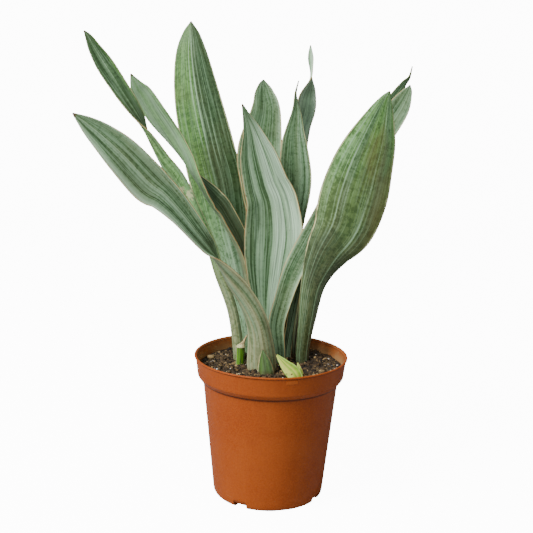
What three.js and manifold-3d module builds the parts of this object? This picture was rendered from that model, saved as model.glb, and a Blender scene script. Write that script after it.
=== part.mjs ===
// A potted snake plant: a plastic nursery pot, its soil, eleven sword leaves, and the small shoots at their foot.
// Millimetres, +Z up. The origin is the centre of the pot's underside; the plant's front faces -Y.
import * as THREE from "three";
import { mergeVertices } from "three/addons/utils/BufferGeometryUtils.js";
import Module from "manifold-3d";

const wasm = await Module();
wasm.setup();

// ---- Driving dimensions ----

const POT = {
  height: 143.5,
  rimRadius: 76, // the six-inch rim
  bandLowRadius: 72.6, // the rim band, where its chamfer starts
  bandLowZ: 124,
  shoulderRadius: 69.3, // under the chamfer
  shoulderZ: 119.5,
  bodyTopRadius: 67.1,
  baseRadius: 55,
  cornerRadius: 5,
  cornerSteps: 4,
  underStep: 0.6, // how far below the shoulder the body's wall turns out to it
  lipFlare: 1.2, // how far the lip stands out from the band, and how deep it is
  lipRound: 0.5,
  wall: 1.6,
  floor: 2.2,
  sides: 56,
};

// Slots cut through the bottom corner: four deep drain slots, and four shallow foot notches between them.
const DRAINS = { count: 4, firstDeg: -119, width: 14, height: 5.6, innerRadius: 46 };
const NOTCHES = { count: 4, firstDeg: -74, width: 13, height: 1.3, innerRadius: 50 };

const SOIL = {
  level: 129.5,
  bump: 1.6,
  bank: 3, // how much higher it lies at the wall than in the middle
  rings: 10,
  sides: 40,
  clearance: 0.35, // to the pot
};

const FIT = 0.35; // the gap round a stem in its hole in the soil
const HOLE_STATIONS = 1.8; // how many stations up its leaf a hole reaches, which is clear of the soil
const HOLE_ROWS = 5;
const STEM_DATUM = 128.5; // the level that the heights in the leaves' stations count from

// How thick a blade is along its midrib, at its foot and at its tip, and along its margins, and the
// least half width and roll that its sections keep. A narrow section is thinner, by `slimming`.
const BLADE = {
  footThickness: 4.4,
  tipThickness: 1.6,
  marginThickness: 0.9,
  slimming: 0.35,
  leastWidth: 0.6,
  leastRoll: 0.02,
  waveLag: 1.9, // how far the wave of one margin runs behind the other's, in radians
};

const COLOURS = {
  terracotta: 0xb5582a,
  soil: 0x4a3d30,
  silverGreen: 0x8fae93,
  darkGreen: 0x55785a,
  paleGreen: 0x93ba85,
  brightGreen: 0x7fa866,
  sheathGreen: 0x5f7d4a,
  shootGreen: 0x6d9c2e,
  lime: 0xb7d66a,
};

// ---- The leaves ----
// A station is [x, y, height, half width, facing, cup]: a point of the midrib, from the pot's axis and
// from the datum level below, half of the blade's flat width there,
// the compass angle in the ground plane that the upper face looks towards, and how far each half
// is rolled up out of flat. Angles are in degrees; -90 looks to the front.

const LEAVES = [
  {
    name: "leaf_low_left",
    colour: COLOURS.silverGreen,
    rows: 34,
    across: 6,
    wave: [1.2, 4],
    stations: [
      [-9, -14, -19, 12, 88, 52],
      [-9, -14, 6, 16.5, 88, 50],
      [-12, -16, 37, 13, 82, 50],
      [-18, -18, 57, 12.5, 72, 50],
      [-28, -20, 75, 13, 56, 50],
      [-42, -23, 95, 14, 36, 48],
      [-56, -27, 117, 12, 8, 46],
      [-65.5, -32, 131, 11.2, -25, 44],
      [-75, -37, 145, 12, -52, 38],
      [-89, -43, 164, 13.2, -68, 32],
      [-102, -48, 179, 15.5, -74, 28],
      [-115, -52, 190, 19, -76, 26],
      [-136, -60, 214, 17.3, -80, 22],
      [-152, -65, 230, 13.2, -82, 20],
      [-166, -69, 242, 8, -82, 16],
      [-179, -72, 252, 0.7, -82, 8],
    ],
  },
  {
    name: "leaf_far_left",
    colour: COLOURS.darkGreen,
    rows: 32,
    across: 4,
    wave: [0.6, 4],
    stations: [
      [-34, 19, -19, 7, 70, 60],
      [-34, 19, 9, 7, 70, 60],
      [-41, 20, 52, 7, 60, 60],
      [-55, 20, 90, 8, 50, 60],
      [-65, 19, 121, 8.5, 50, 55],
      [-79, 17, 150, 9, 55, 50],
      [-95.5, 16, 182, 10, 60, 42],
      [-110.5, 14, 204, 9.5, 45, 38],
      [-125, 12, 229, 9, 15, 36],
      [-134, 10, 246, 8.5, -30, 32],
      [-146, 8, 266, 8.5, -62, 28],
      [-158, 5, 285, 9, -72, 24],
      [-165, 3, 296, 8.6, -76, 22],
      [-172, 0, 308, 6.2, -80, 20],
      [-177, -2, 318, 3.6, -80, 15],
      [-181, -4, 324, 0.7, -80, 8],
    ],
  },
  {
    name: "leaf_pale_left",
    colour: COLOURS.paleGreen,
    rows: 30,
    across: 6,
    wave: [0.6, 3],
    stations: [
      [-20, 24, -19, 7, -20, 66],
      [-20, 26, 13, 8, -22, 70],
      [-24, 40, 58, 10, -25, 74],
      [-33, 54, 105, 14, -27, 76],
      [-53, 53, 144, 16, -25, 74],
      [-64, 51, 159, 16, -18, 68],
      [-73, 49, 171, 15, -6, 60],
      [-83, 47, 186, 13, 14, 50],
      [-92, 45, 203, 12, 36, 42],
      [-106.3, 42, 225.5, 12.2, 55, 34],
      [-120, 38, 245.5, 12.1, 66, 28],
      [-131, 34, 264, 10.4, 72, 24],
      [-137, 31, 273, 7.4, 76, 18],
      [-142.5, 28, 285, 0.7, 78, 8],
    ],
  },
  {
    name: "leaf_tall_back_left",
    colour: COLOURS.brightGreen,
    rows: 28,
    across: 6,
    wave: [1.0, 3],
    stations: [
      [-19, 36, -19, 6, 80, 55],
      [-19, 37, 3, 6.5, 80, 55],
      [-29, 52, 48, 9.5, 82, 50],
      [-42, 68, 96, 17, 84, 40],
      [-51, 76, 126, 23, 85, 32],
      [-61.5, 82, 173, 29, 86, 26],
      [-69.8, 86, 203, 28.5, 87, 24],
      [-78, 90, 235, 27.2, 88, 22],
      [-85, 94, 268, 24, 88, 22],
      [-90, 98, 303, 17.5, 88, 20],
      [-91, 101, 325, 9.6, 88, 16],
      [-91, 103, 338, 0.7, 88, 8],
    ],
  },
  {
    name: "leaf_front_centre",
    colour: COLOURS.silverGreen,
    rows: 28,
    across: 6,
    wave: [0.8, 4],
    stations: [
      [-3, 27, -19, 6.5, -90, 50],
      [-3, 28, 8, 7.5, -90, 50],
      [-4, 33, 41, 12, -90, 40],
      [-4, 36, 64, 19, -90, 34],
      [-2, 38, 97, 27.5, -90, 26],
      [0, 39, 129, 30.5, -90, 24],
      [-3, 37, 160, 27, -88, 22],
      [-10, 34, 181, 23, -86, 20],
      [-18, 30, 209, 18.5, -84, 18],
      [-24, 26, 232, 9.8, -84, 16],
      [-29, 24, 246, 4.6, -84, 12],
      [-34, 22, 259, 0.7, -84, 8],
    ],
  },
  {
    name: "leaf_back_centre",
    colour: COLOURS.darkGreen,
    rows: 24,
    across: 6,
    wave: [0.8, 3],
    stations: [
      [-5, 48, -19, 6, -90, 50],
      [-4, 50, 13, 7, -90, 50],
      [-4, 61, 68, 11, -90, 40],
      [-9, 70, 129, 17, -88, 30],
      [-15, 76, 175, 22, -86, 24],
      [-17, 80, 209, 23.5, -86, 20],
      [-12, 87, 248, 16.2, -86, 18],
      [-14, 91, 267, 10.5, -86, 16],
      [-15, 93, 276, 5.4, -86, 12],
      [-15, 94, 281, 0.7, -86, 8],
    ],
  },
  {
    name: "leaf_centre_right",
    colour: COLOURS.darkGreen,
    rows: 28,
    across: 6,
    wave: [0.8, 3],
    stations: [
      [10, 41, -19, 5.5, -85, 50],
      [11, 42, 13, 6.5, -85, 50],
      [12, 47, 59, 7.5, -85, 45],
      [15, 53, 111, 11, -82, 35],
      [17, 56, 143, 14.5, -80, 28],
      [19, 61, 181, 18, -78, 24],
      [18, 67, 215, 14, -78, 20],
      [18, 70, 230, 10.4, -78, 18],
      [19, 74, 248, 5.8, -75, 18],
      [18.5, 76, 259, 3.2, -60, 25],
      [18.3, 78, 269, 1.6, -40, 30],
      [21, 80, 281, 0.6, -30, 20],
    ],
  },
  {
    name: "leaf_back_twisted",
    colour: COLOURS.darkGreen,
    rows: 26,
    across: 4,
    wave: [0.5, 3],
    stations: [
      [20, 52, -19, 5, -70, 50],
      [20, 54, 10, 6, -70, 50],
      [18, 67, 108, 9, -70, 38],
      [19.5, 80, 181, 10.2, -65, 30],
      [24, 92, 229, 11, -62, 26],
      [28.5, 97, 251, 12.4, -60, 24],
      [30.5, 100, 264, 11.4, -54, 24],
      [33, 103, 276, 8.6, -32, 26],
      [34.3, 106, 287, 4.8, 0, 30],
      [33, 111, 303, 4.6, 40, 26],
      [33, 115, 317, 0.6, 60, 10],
    ],
  },
  {
    name: "leaf_big_right",
    colour: COLOURS.brightGreen,
    rows: 30,
    across: 6,
    wave: [1.2, 3],
    stations: [
      [33, 20, -19, 6.5, 95, 55],
      [32, 20, 5, 7.8, 95, 55],
      [33, 18, 23, 8, 93, 52],
      [34.5, 15, 41, 9, 92, 50],
      [38.5, 10, 78, 12.8, 90, 44],
      [44.5, 7, 99, 17.2, 88, 36],
      [53.5, 5, 119, 23.2, 86, 30],
      [67, 2, 143, 30.6, 86, 26],
      [74.6, -2, 173, 33.6, 86, 22],
      [81.6, -7, 202, 30.4, 86, 20],
      [89.7, -12, 230, 23.4, 86, 18],
      [96.3, -16, 256, 12.2, 86, 16],
      [100, -19, 269, 5.4, 86, 12],
      [103, -20, 276, 0.7, 86, 8],
    ],
  },
  {
    name: "leaf_slim_right",
    colour: COLOURS.darkGreen,
    rows: 28,
    across: 6,
    wave: [0.6, 4],
    stations: [
      [10, 17, -19, 5.5, -90, 50],
      [8, 17, 13, 6.8, -90, 50],
      [5, 19, 39, 8.8, -92, 40],
      [10, 20, 63, 9.5, -95, 34],
      [19, 23, 93, 10.5, -98, 30],
      [31, 28, 117, 11.5, -98, 26],
      [47, 34, 146, 12, -96, 24],
      [72, 43, 192, 12.5, -92, 22],
      [99.5, 51, 226, 13.6, -90, 20],
      [119.5, 56, 255, 11.8, -88, 18],
      [129, 60, 272, 5.8, -88, 14],
      [132, 61, 280, 0.7, -88, 8],
    ],
  },
  {
    name: "leaf_curled_back_right",
    colour: COLOURS.darkGreen,
    rows: 26,
    across: 4,
    wave: [0.5, 3],
    stations: [
      [18, 33, -19, 4.5, -80, 50],
      [16, 34, 9, 5, -80, 50],
      [21, 39, 45, 5.5, -85, 45],
      [29, 43, 83, 7, -90, 38],
      [48, 51, 129, 9, -92, 30],
      [77, 61, 178, 9.5, -90, 26],
      [103, 72, 233, 9, -88, 24],
      [118, 79, 264, 6.5, -85, 24],
      [127.5, 82, 280, 3.6, -70, 28],
      [133.5, 84, 287, 1.8, -50, 28],
      [136.5, 86, 298, 0.6, -30, 20],
    ],
  },
  {
    name: "front_sheath",
    colour: COLOURS.sheathGreen,
    rows: 8,
    across: 6,
    wave: [0, 1],
    stations: [
      [-5, -22, -17, 9, 84, 44],
      [-5, -22, -1, 9.5, 84, 44],
      [-6, -22, 11, 7, 84, 38],
      [-8, -21.5, 21, 0.7, 84, 10],
    ],
  },
  {
    name: "lime_pup",
    colour: COLOURS.lime,
    rows: 12,
    across: 6,
    wave: [0, 1],
    stations: [
      [26, -33, -15, 4, -75, 66],
      [26, -33, -2, 6.5, -75, 62],
      [22, -33, 7, 8, -80, 50],
      [15, -33, 14, 6, -85, 40],
      [5, -33, 25, 0.7, -90, 10],
    ],
  },
  {
    name: "pup_scale",
    colour: COLOURS.lime,
    rows: 7,
    across: 4,
    wave: [0, 1],
    stations: [
      [30, -25, -15, 2.6, -110, 40],
      [30, -25, 1, 3.4, -110, 40],
      [28, -25, 9, 2.4, -110, 30],
      [26, -25, 15, 0.6, -110, 10],
    ],
  },
];

// A shoot cut off short, with the dry wisp of its old tip: rings of [x, y, z, radius] up its stalk.
const CUT_SHOOT = {
  name: "cut_shoot",
  sides: 12,
  rings: [
    [-31, 5, -15, 4],
    [-31, 5, -1, 4.3],
    [-30.5, 5, 16.5, 4.1],
    [-30.5, 5, 17.5, 4.8],
    [-30, 5, 19.5, 4],
    [-28, 5, 23, 2.2],
    [-26, 5, 28, 1.3],
    [-24, 5, 33, 0.5],
  ],
};

// ---- Helpers ----

const radians = THREE.MathUtils.degToRad;
const { lerp } = THREE.MathUtils;

// A named mesh with its own plain material.
function part(name, geometry, colour, roughness = 0.55) {
  const material = new THREE.MeshStandardMaterial({ color: colour, roughness, metalness: 0 });
  const mesh = new THREE.Mesh(geometry, material);
  mesh.name = name;
  return mesh;
}

// A closed geometry as a solid for joining and cutting.
function toSolid(geometry) {
  const bare = (geometry.index ? geometry.toNonIndexed() : geometry).clone();
  bare.deleteAttribute("normal");
  bare.deleteAttribute("uv");
  const merged = mergeVertices(bare, 1e-4);
  const vertProperties = merged.attributes.position.array;
  const triVerts = new Uint32Array(merged.index.array);
  return new wasm.Manifold(new wasm.Mesh({ numProp: 3, vertProperties, triVerts }));
}

function fromSolid(solid) {
  const { vertProperties, triVerts } = solid.getMesh();
  const geometry = new THREE.BufferGeometry();
  geometry.setAttribute("position", new THREE.BufferAttribute(vertProperties, 3));
  geometry.setIndex(new THREE.BufferAttribute(triVerts, 1));
  geometry.computeVertexNormals();
  return geometry;
}

// A closed tube of rings that all have the same number of points, capped by a fan at each end.
function loft(rings) {
  const count = rings[0].length;
  const centre = (ring) =>
    ring.reduce((sum, p) => sum.add(p), new THREE.Vector3()).divideScalar(count);
  const points = [...rings.flat(), centre(rings[0]), centre(rings.at(-1))];
  const faces = [];
  const last = (rings.length - 1) * count;
  for (let i = 0; i < count; i += 1) {
    const j = (i + 1) % count;
    for (let r = 0; r < last; r += count) {
      faces.push(r + i, r + j, r + count + j, r + i, r + count + j, r + count + i);
    }
    faces.push(points.length - 2, j, i);
    faces.push(points.length - 1, last + i, last + j);
  }
  const geometry = new THREE.BufferGeometry().setFromPoints(points);
  geometry.setIndex(faces);
  geometry.computeVertexNormals();
  return geometry;
}

// A lathe geometry turned so that its axis is Z; the profile's points are [radius, z].
function turned(profile, sides) {
  const points = profile.map(([radius, z]) => new THREE.Vector2(radius, z));
  return new THREE.LatheGeometry(points, sides).rotateX(Math.PI / 2);
}

// ---- The blades ----

// A blade's smooth midrib, and its half width, facing and cup, at any share of the way up from its foot.
function bladeCurves(stations) {
  const smooth = (first) =>
    new THREE.CatmullRomCurve3(
      stations.map((s) => new THREE.Vector3(...s.slice(first, first + 3))),
      false,
      "catmullrom",
      0.5,
    );
  return { midrib: smooth(0), form: smooth(3) };
}

// One cross-section of a blade: the points along its upper face and back along its lower face.
function bladeRing(leaf, curves, share, extra) {
  const step = 0.002;
  const middle = curves.midrib.getPoint(share);
  const tangent = curves.midrib
    .getPoint(Math.min(1, share + step))
    .sub(curves.midrib.getPoint(Math.max(0, share - step)))
    .normalize();
  const { x: halfWidth, y: facing, z: cup } = curves.form.getPoint(share);
  const compass = new THREE.Vector3(Math.cos(radians(facing)), Math.sin(radians(facing)), 0);
  const up = compass.addScaledVector(tangent, -compass.dot(tangent)).normalize();
  const side = new THREE.Vector3().crossVectors(tangent, up);
  const roll = Math.max(radians(cup), BLADE.leastRoll);
  const width = Math.max(halfWidth, BLADE.leastWidth);
  const radius = width / roll;
  const [waveHeight, waveCount] = leaf.wave;
  const midThickness = Math.min(
    lerp(BLADE.footThickness, BLADE.tipThickness, share),
    BLADE.marginThickness + BLADE.slimming * width,
  );
  const lower = [];
  const upper = [];
  for (let i = 0; i <= leaf.across; i += 1) {
    const u = (2 * i) / leaf.across - 1;
    const angle = u * roll;
    const phase = 2 * Math.PI * waveCount * share + (u > 0 ? BLADE.waveLag : 0);
    const ripple = waveHeight * u * u * Math.sin(Math.PI * share) * Math.sin(phase);
    const grow = 1 + extra / width;
    const normal = up.clone().multiplyScalar(Math.cos(angle)).addScaledVector(side, -Math.sin(angle));
    const skin = middle
      .clone()
      .addScaledVector(side, grow * radius * Math.sin(angle))
      .addScaledVector(up, radius * (1 - Math.cos(angle)))
      .addScaledVector(normal, ripple);
    const half = lerp(BLADE.marginThickness, midThickness, 1 - u * u) / 2 + extra;
    lower.push(skin.clone().addScaledVector(normal, -half));
    upper.push(skin.addScaledVector(normal, half));
  }
  return [...upper, ...lower.reverse()];
}

// A whole blade, or with `extra` the hole for its foot: the same form, that much larger all round.
function bladeGeometry(leaf, extra = 0, upTo = 1) {
  const curves = bladeCurves(leaf.stations);
  const rings = [];
  for (let row = 0; row <= leaf.rows; row += 1) {
    rings.push(bladeRing(leaf, curves, (upTo * row) / leaf.rows, extra));
  }
  return loft(rings);
}

// A round shoot, or with `extra` its hole.
function shootGeometry({ rings, sides }, extra = 0) {
  return loft(
    rings.map(([x, y, z, radius]) =>
      Array.from({ length: sides }, (_, i) => {
        const turn = (2 * Math.PI * i) / sides;
        const reach = radius + extra;
        return new THREE.Vector3(x + reach * Math.cos(turn), y + reach * Math.sin(turn), z);
      }),
    ),
  );
}

// ---- The pot ----

// The pot's outer line from its foot to its lip, moved in by `inset`.
function potLine(inset) {
  const { cornerRadius: corner, baseRadius, cornerSteps } = POT;
  const points = [];
  for (let i = 0; i <= cornerSteps; i += 1) {
    const turn = (Math.PI / 2) * (i / cornerSteps);
    points.push([
      baseRadius - corner + (corner - inset) * Math.sin(turn),
      corner - (corner - inset) * Math.cos(turn),
    ]);
  }
  const lift = inset / 2; // the inner line bends higher, so that the wall is as thick at the shoulder
  points.push([POT.bodyTopRadius - inset, POT.shoulderZ - POT.underStep + lift]);
  points.push([POT.shoulderRadius - inset, POT.shoulderZ + lift]);
  points.push([POT.bandLowRadius - inset, POT.bandLowZ + lift]);
  points.push([POT.rimRadius - POT.lipFlare - inset, POT.height - POT.lipFlare - POT.lipRound]);
  return points;
}

function slots({ count, firstDeg, width, height, innerRadius }) {
  const reach = POT.baseRadius + 10 - innerRadius;
  let all = null;
  for (let i = 0; i < count; i += 1) {
    const box = new THREE.BoxGeometry(reach, width, 2 * height)
      .translate(innerRadius + reach / 2, 0, 0)
      .rotateZ(radians(firstDeg + (360 / count) * i));
    const solid = toSolid(box);
    all = all ? all.add(solid) : solid;
  }
  return all;
}

function potGeometry() {
  const lip = [
    [POT.rimRadius, POT.height - POT.lipFlare],
    [POT.rimRadius - POT.lipRound, POT.height],
    [POT.rimRadius - POT.wall - POT.lipRound, POT.height],
  ];
  const inner = potLine(POT.wall).slice(1).reverse();
  const floorEdge = POT.baseRadius - POT.cornerRadius;
  const profile = [
    [0, 0],
    ...potLine(0),
    ...lip,
    ...inner,
    [floorEdge, POT.floor],
    [0, POT.floor],
  ];
  return fromSolid(toSolid(turned(profile, POT.sides)).subtract(slots(DRAINS)).subtract(slots(NOTCHES)));
}

// ---- The soil ----

// The lumps of the soil's surface: a few crossed waves, flatter at the wall.
function lump(x, y) {
  const coarse = Math.sin(x * 0.21 + 1.3) * Math.cos(y * 0.17 - 0.4);
  const fine = 0.6 * Math.sin(x * 0.43 - y * 0.36) * Math.cos(y * 0.5 + x * 0.12);
  return SOIL.bump * (coarse + fine);
}

// The soil banks up towards the wall, most of all on the right.
function bank(x, y, wallRadius) {
  const out = (x * x + y * y) / (wallRadius * wallRadius);
  return SOIL.bank * out * (0.75 + 0.25 * (x / wallRadius));
}

function soilGeometry() {
  const gap = POT.wall + SOIL.clearance;
  const wallLine = potLine(gap).slice(1, -1);
  const topRadius = lerp(POT.bandLowRadius, POT.rimRadius - 1.2, 0.2) - gap;
  const outline = [[POT.baseRadius - POT.cornerRadius, POT.floor + SOIL.clearance], ...wallLine];
  outline.push([topRadius, SOIL.level + SOIL.bank]);
  const ringAt = (radius, height) =>
    Array.from({ length: SOIL.sides }, (_, i) => {
      const turn = (2 * Math.PI * i) / SOIL.sides;
      const x = radius * Math.cos(turn);
      const y = radius * Math.sin(turn);
      return new THREE.Vector3(x, y, height(x, y));
    });
  const rings = outline.map(([radius, z]) => ringAt(radius, () => z));
  for (let i = 1; i < SOIL.rings; i += 1) {
    const radius = topRadius * (1 - i / SOIL.rings);
    rings.push(ringAt(radius, (x, y) => SOIL.level + bank(x, y, topRadius) + lump(x, y)));
  }
  let soil = toSolid(loft(rings));
  for (const leaf of LEAVES) {
    const foot = HOLE_STATIONS / (leaf.stations.length - 1);
    const hole = toSolid(bladeGeometry({ ...leaf, rows: HOLE_ROWS }, FIT, foot));
    soil = soil.subtract(hole.translate(0, 0, STEM_DATUM));
  }
  const shootHole = toSolid(shootGeometry(CUT_SHOOT, FIT));
  return fromSolid(soil.subtract(shootHole.translate(0, 0, STEM_DATUM)));
}

// ---- The whole plant ----

const plant = new THREE.Group();
plant.add(part("pot", potGeometry(), COLOURS.terracotta, 0.45));
plant.add(part("soil", soilGeometry(), COLOURS.soil, 0.95));
const growth = new THREE.Group();
growth.position.z = STEM_DATUM;
for (const leaf of LEAVES) {
  growth.add(part(leaf.name, bladeGeometry(leaf), leaf.colour));
}
growth.add(part(CUT_SHOOT.name, shootGeometry(CUT_SHOOT), COLOURS.shootGreen));
plant.add(growth);

export default plant;
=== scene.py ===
"""The potted snake plant, dressed: fine leaves and shoots, crumbly potting mix and a moulded pot.

Everything is in metres in the frame's own axes, +Z up with the front towards -Y. The leaves' stations are
in millimetres, as in the part's source, and are brought to metres where a mesh is made.
"""

import logging
import math
from dataclasses import dataclass, field, replace
from enum import Enum
from random import Random
from typing import Sequence

import bmesh
import bpy
from bmesh.types import BMesh, BMVert
from bpy.types import Material, Node, NodeSocket, NodeTree, Object
from mathutils import Euler, Matrix, Vector, noise


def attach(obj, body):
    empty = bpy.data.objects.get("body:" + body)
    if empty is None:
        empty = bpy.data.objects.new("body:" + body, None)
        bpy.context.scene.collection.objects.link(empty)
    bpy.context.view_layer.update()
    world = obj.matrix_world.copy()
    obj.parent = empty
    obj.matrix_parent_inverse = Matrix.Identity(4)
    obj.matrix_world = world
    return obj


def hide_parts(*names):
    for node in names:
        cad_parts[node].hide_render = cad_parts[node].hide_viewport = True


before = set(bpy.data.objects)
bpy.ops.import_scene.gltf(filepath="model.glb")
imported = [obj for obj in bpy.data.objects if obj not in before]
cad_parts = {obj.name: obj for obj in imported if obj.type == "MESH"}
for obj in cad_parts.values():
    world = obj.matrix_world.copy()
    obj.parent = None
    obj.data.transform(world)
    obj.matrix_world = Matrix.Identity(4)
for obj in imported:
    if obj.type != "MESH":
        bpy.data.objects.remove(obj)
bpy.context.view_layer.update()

LOG = logging.getLogger("snake_plant")

MM = 0.001
STEM_DATUM = 128.5  # the level, in millimetres, that the heights in the stations count from
BLADE_UV = "blade"
TONE_ATTRIBUTE = "tone"
BODY = "root"

BAND_SLOPE = 0.1236  # how much wider the pot's rim band grows for its height

Band = tuple[float, "Tone"]
Stripe = tuple[float, float, float]
Station = tuple[float, float, float, float, float, float]
Look = tuple[NodeSocket, NodeSocket, NodeSocket]  # a finish's colour, roughness and relief


class Tone(Enum):
    """The plant's own colours, as sRGB values from 0 to 255."""

    INK = (36, 44, 30)
    DARK = (46, 72, 46)
    SLATE = (72, 92, 80)
    DEEP = (60, 90, 54)
    MOSS = (74, 98, 60)
    GREEN = (92, 126, 84)
    LEAF = (102, 150, 74)
    SAGE = (120, 148, 106)
    SILVER = (148, 184, 146)
    MIST = (168, 206, 164)
    WHITE = (206, 240, 206)
    CREAM = (216, 224, 168)
    PALE = (150, 204, 130)
    OLIVE = (112, 104, 58)
    HUSK = (176, 176, 132)
    UMBER = (94, 76, 50)
    TAN = (176, 138, 88)
    BARK = (84, 60, 38)
    SHOOT = (104, 158, 40)
    STEM = (94, 96, 66)
    LIME = (244, 255, 124)
    LIME_SHADE = (170, 218, 70)
    POT = (158, 68, 8)
    POT_PALE = (180, 90, 26)
    POT_DEEP = (124, 46, 8)
    POT_SHADE = (62, 22, 6)
    PEAT = (70, 54, 34)
    PEAT_BLACK = (22, 17, 12)
    PEAT_BROWN = (104, 82, 52)
    CRUMB = (176, 148, 100)
    PERLITE = (238, 233, 222)
    MARK_SHADE = (162, 178, 152)  # what a dark mark leaves of the colour under it

    @property
    def linear(self) -> tuple[float, float, float, float]:
        """The colour as a shader reads it."""
        red, green, blue = (((c / 255 + 0.055) / 1.055) ** 2.4 for c in self.value)
        return (red, green, blue, 1.0)

    @property
    def marked(self) -> tuple[float, float, float, float]:
        """The colour with, in place of its opacity, how far dark marks show in it."""
        plain = {Tone.CREAM: 0.0, Tone.WHITE: 0.06, Tone.MIST: 0.2, Tone.SILVER: 0.5, Tone.HUSK: 0.3}
        return (*self.linear[:3], plain.get(self, 1.0))


# ---- Materials ----


class Wiring:
    """Places nodes in one tree and joins them up."""

    def __init__(self, tree: NodeTree) -> None:
        """Starts on a tree.

        Args:
            tree: the node tree of a material or of a group.
        """
        self.tree = tree

    def add(self, kind: str, inputs: dict | None = None, **settings: object) -> Node:
        """Adds a node.

        Args:
            kind: the node's type name.
            inputs: for each input's name or number, a value or the socket that feeds it.
            **settings: the node's own properties.

        Returns:
            The new node.
        """
        node = self.tree.nodes.new(kind)
        for name, value in settings.items():
            setattr(node, name, value)
        for key, value in (inputs or {}).items():
            if isinstance(value, NodeSocket):
                self.tree.links.new(value, node.inputs[key])
            else:
                node.inputs[key].default_value = value
        return node

    def math(self, operation: str, first: object, second: object = 0.0) -> NodeSocket:
        """One sum on one or two values."""
        return self.add("ShaderNodeMath", {0: first, 1: second}, operation=operation).outputs[0]

    def span(
        self, value: object, low: float, high: float, start: float = 0.0, end: float = 1.0
    ) -> NodeSocket:
        """Carries a value smoothly from one range to another and holds it at the ends.

        Args:
            value: what is carried.
            low: where the first range starts; it may be the larger of the two.
            high: where the first range ends.
            start: what `low` becomes.
            end: what `high` becomes.

        Returns:
            The new value's socket.
        """
        ends = {"Value": value, "From Min": low, "From Max": high, "To Min": start, "To Max": end}
        return self.add("ShaderNodeMapRange", ends, interpolation_type="SMOOTHSTEP").outputs[0]

    def mix(self, share: object, first: object, second: object, blend: str = "MIX") -> NodeSocket:
        """Blends two colours by a share of the second."""
        inputs = {0: share, 6: first, 7: second}
        return self.add("ShaderNodeMix", inputs, data_type="RGBA", blend_type=blend).outputs[2]

    def vector(self, x: object, y: object, z: object = 0.0) -> NodeSocket:
        """Joins three values into a vector."""
        return self.add("ShaderNodeCombineXYZ", {0: x, 1: y, 2: z}).outputs[0]

    def noise(self, vector: NodeSocket, scale: float, detail: float = 2.0, twist: float = 0.0) -> NodeSocket:
        """Cloudy noise from 0 to 1.

        Args:
            vector: where it is read.
            scale: how many clouds there are to a unit.
            detail: how many finer layers it has.
            twist: how far it is distorted.

        Returns:
            The noise's value.
        """
        inputs = {"Vector": vector, "Scale": scale, "Detail": detail, "Distortion": twist}
        return self.add("ShaderNodeTexNoise", inputs).outputs["Fac"]

    def ramp(self, value: object, stops: Sequence[tuple[float, tuple]]) -> Node:
        """A run of colours.

        Args:
            value: the place along the run, from 0 to 1.
            stops: the places and colours, in order.

        Returns:
            The node, whose outputs are the colour and its opacity.
        """
        node = self.add("ShaderNodeValToRGB", {0: value})
        elements = node.color_ramp.elements
        elements.remove(elements[-1])
        elements[0].position, elements[0].color = stops[0]
        for place, colour in stops[1:]:
            elements.new(min(max(place, 0.0), 1.0)).color = colour
        return node

    def between(self, share: object, first: object, second: object) -> NodeSocket:
        """Blends two numbers by a share of the second."""
        return self.add("ShaderNodeMix", {0: share, 2: first, 3: second}, data_type="FLOAT").outputs[0]

    def product(self, first: object, *others: object) -> NodeSocket:
        """Multiplies numbers.

        Args:
            first: the first number.
            *others: what it is multiplied by.

        Returns:
            The product's socket.
        """
        for other in others:
            first = self.math("MULTIPLY", first, other)
        return first

    def total(self, first: object, second: object) -> NodeSocket:
        """Adds two numbers."""
        return self.math("ADD", first, second)

    def reach(self, x: object, y: object) -> NodeSocket:
        """How far a flat place is from the middle."""
        return self.math("SQRT", self.total(self.product(x, x), self.product(y, y)))

    def tint(self, colour: object, tone: Tone, share: object) -> NodeSocket:
        """Blends a share of a tone into a colour."""
        return self.mix(share, colour, tone.linear)

    def place(self) -> NodeSocket:
        """The place that is shaded, in object space."""
        return self.add("ShaderNodeTexCoord").outputs["Object"]

    def split(self, vector: NodeSocket) -> Sequence[NodeSocket]:
        """The three values of a vector."""
        return self.add("ShaderNodeSeparateXYZ", {0: vector}).outputs

    def group(self, tree: NodeTree, inputs: dict | None = None) -> Node:
        """Places a shared group in the tree."""
        return self.add("ShaderNodeGroup", inputs, node_tree=tree)


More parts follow.
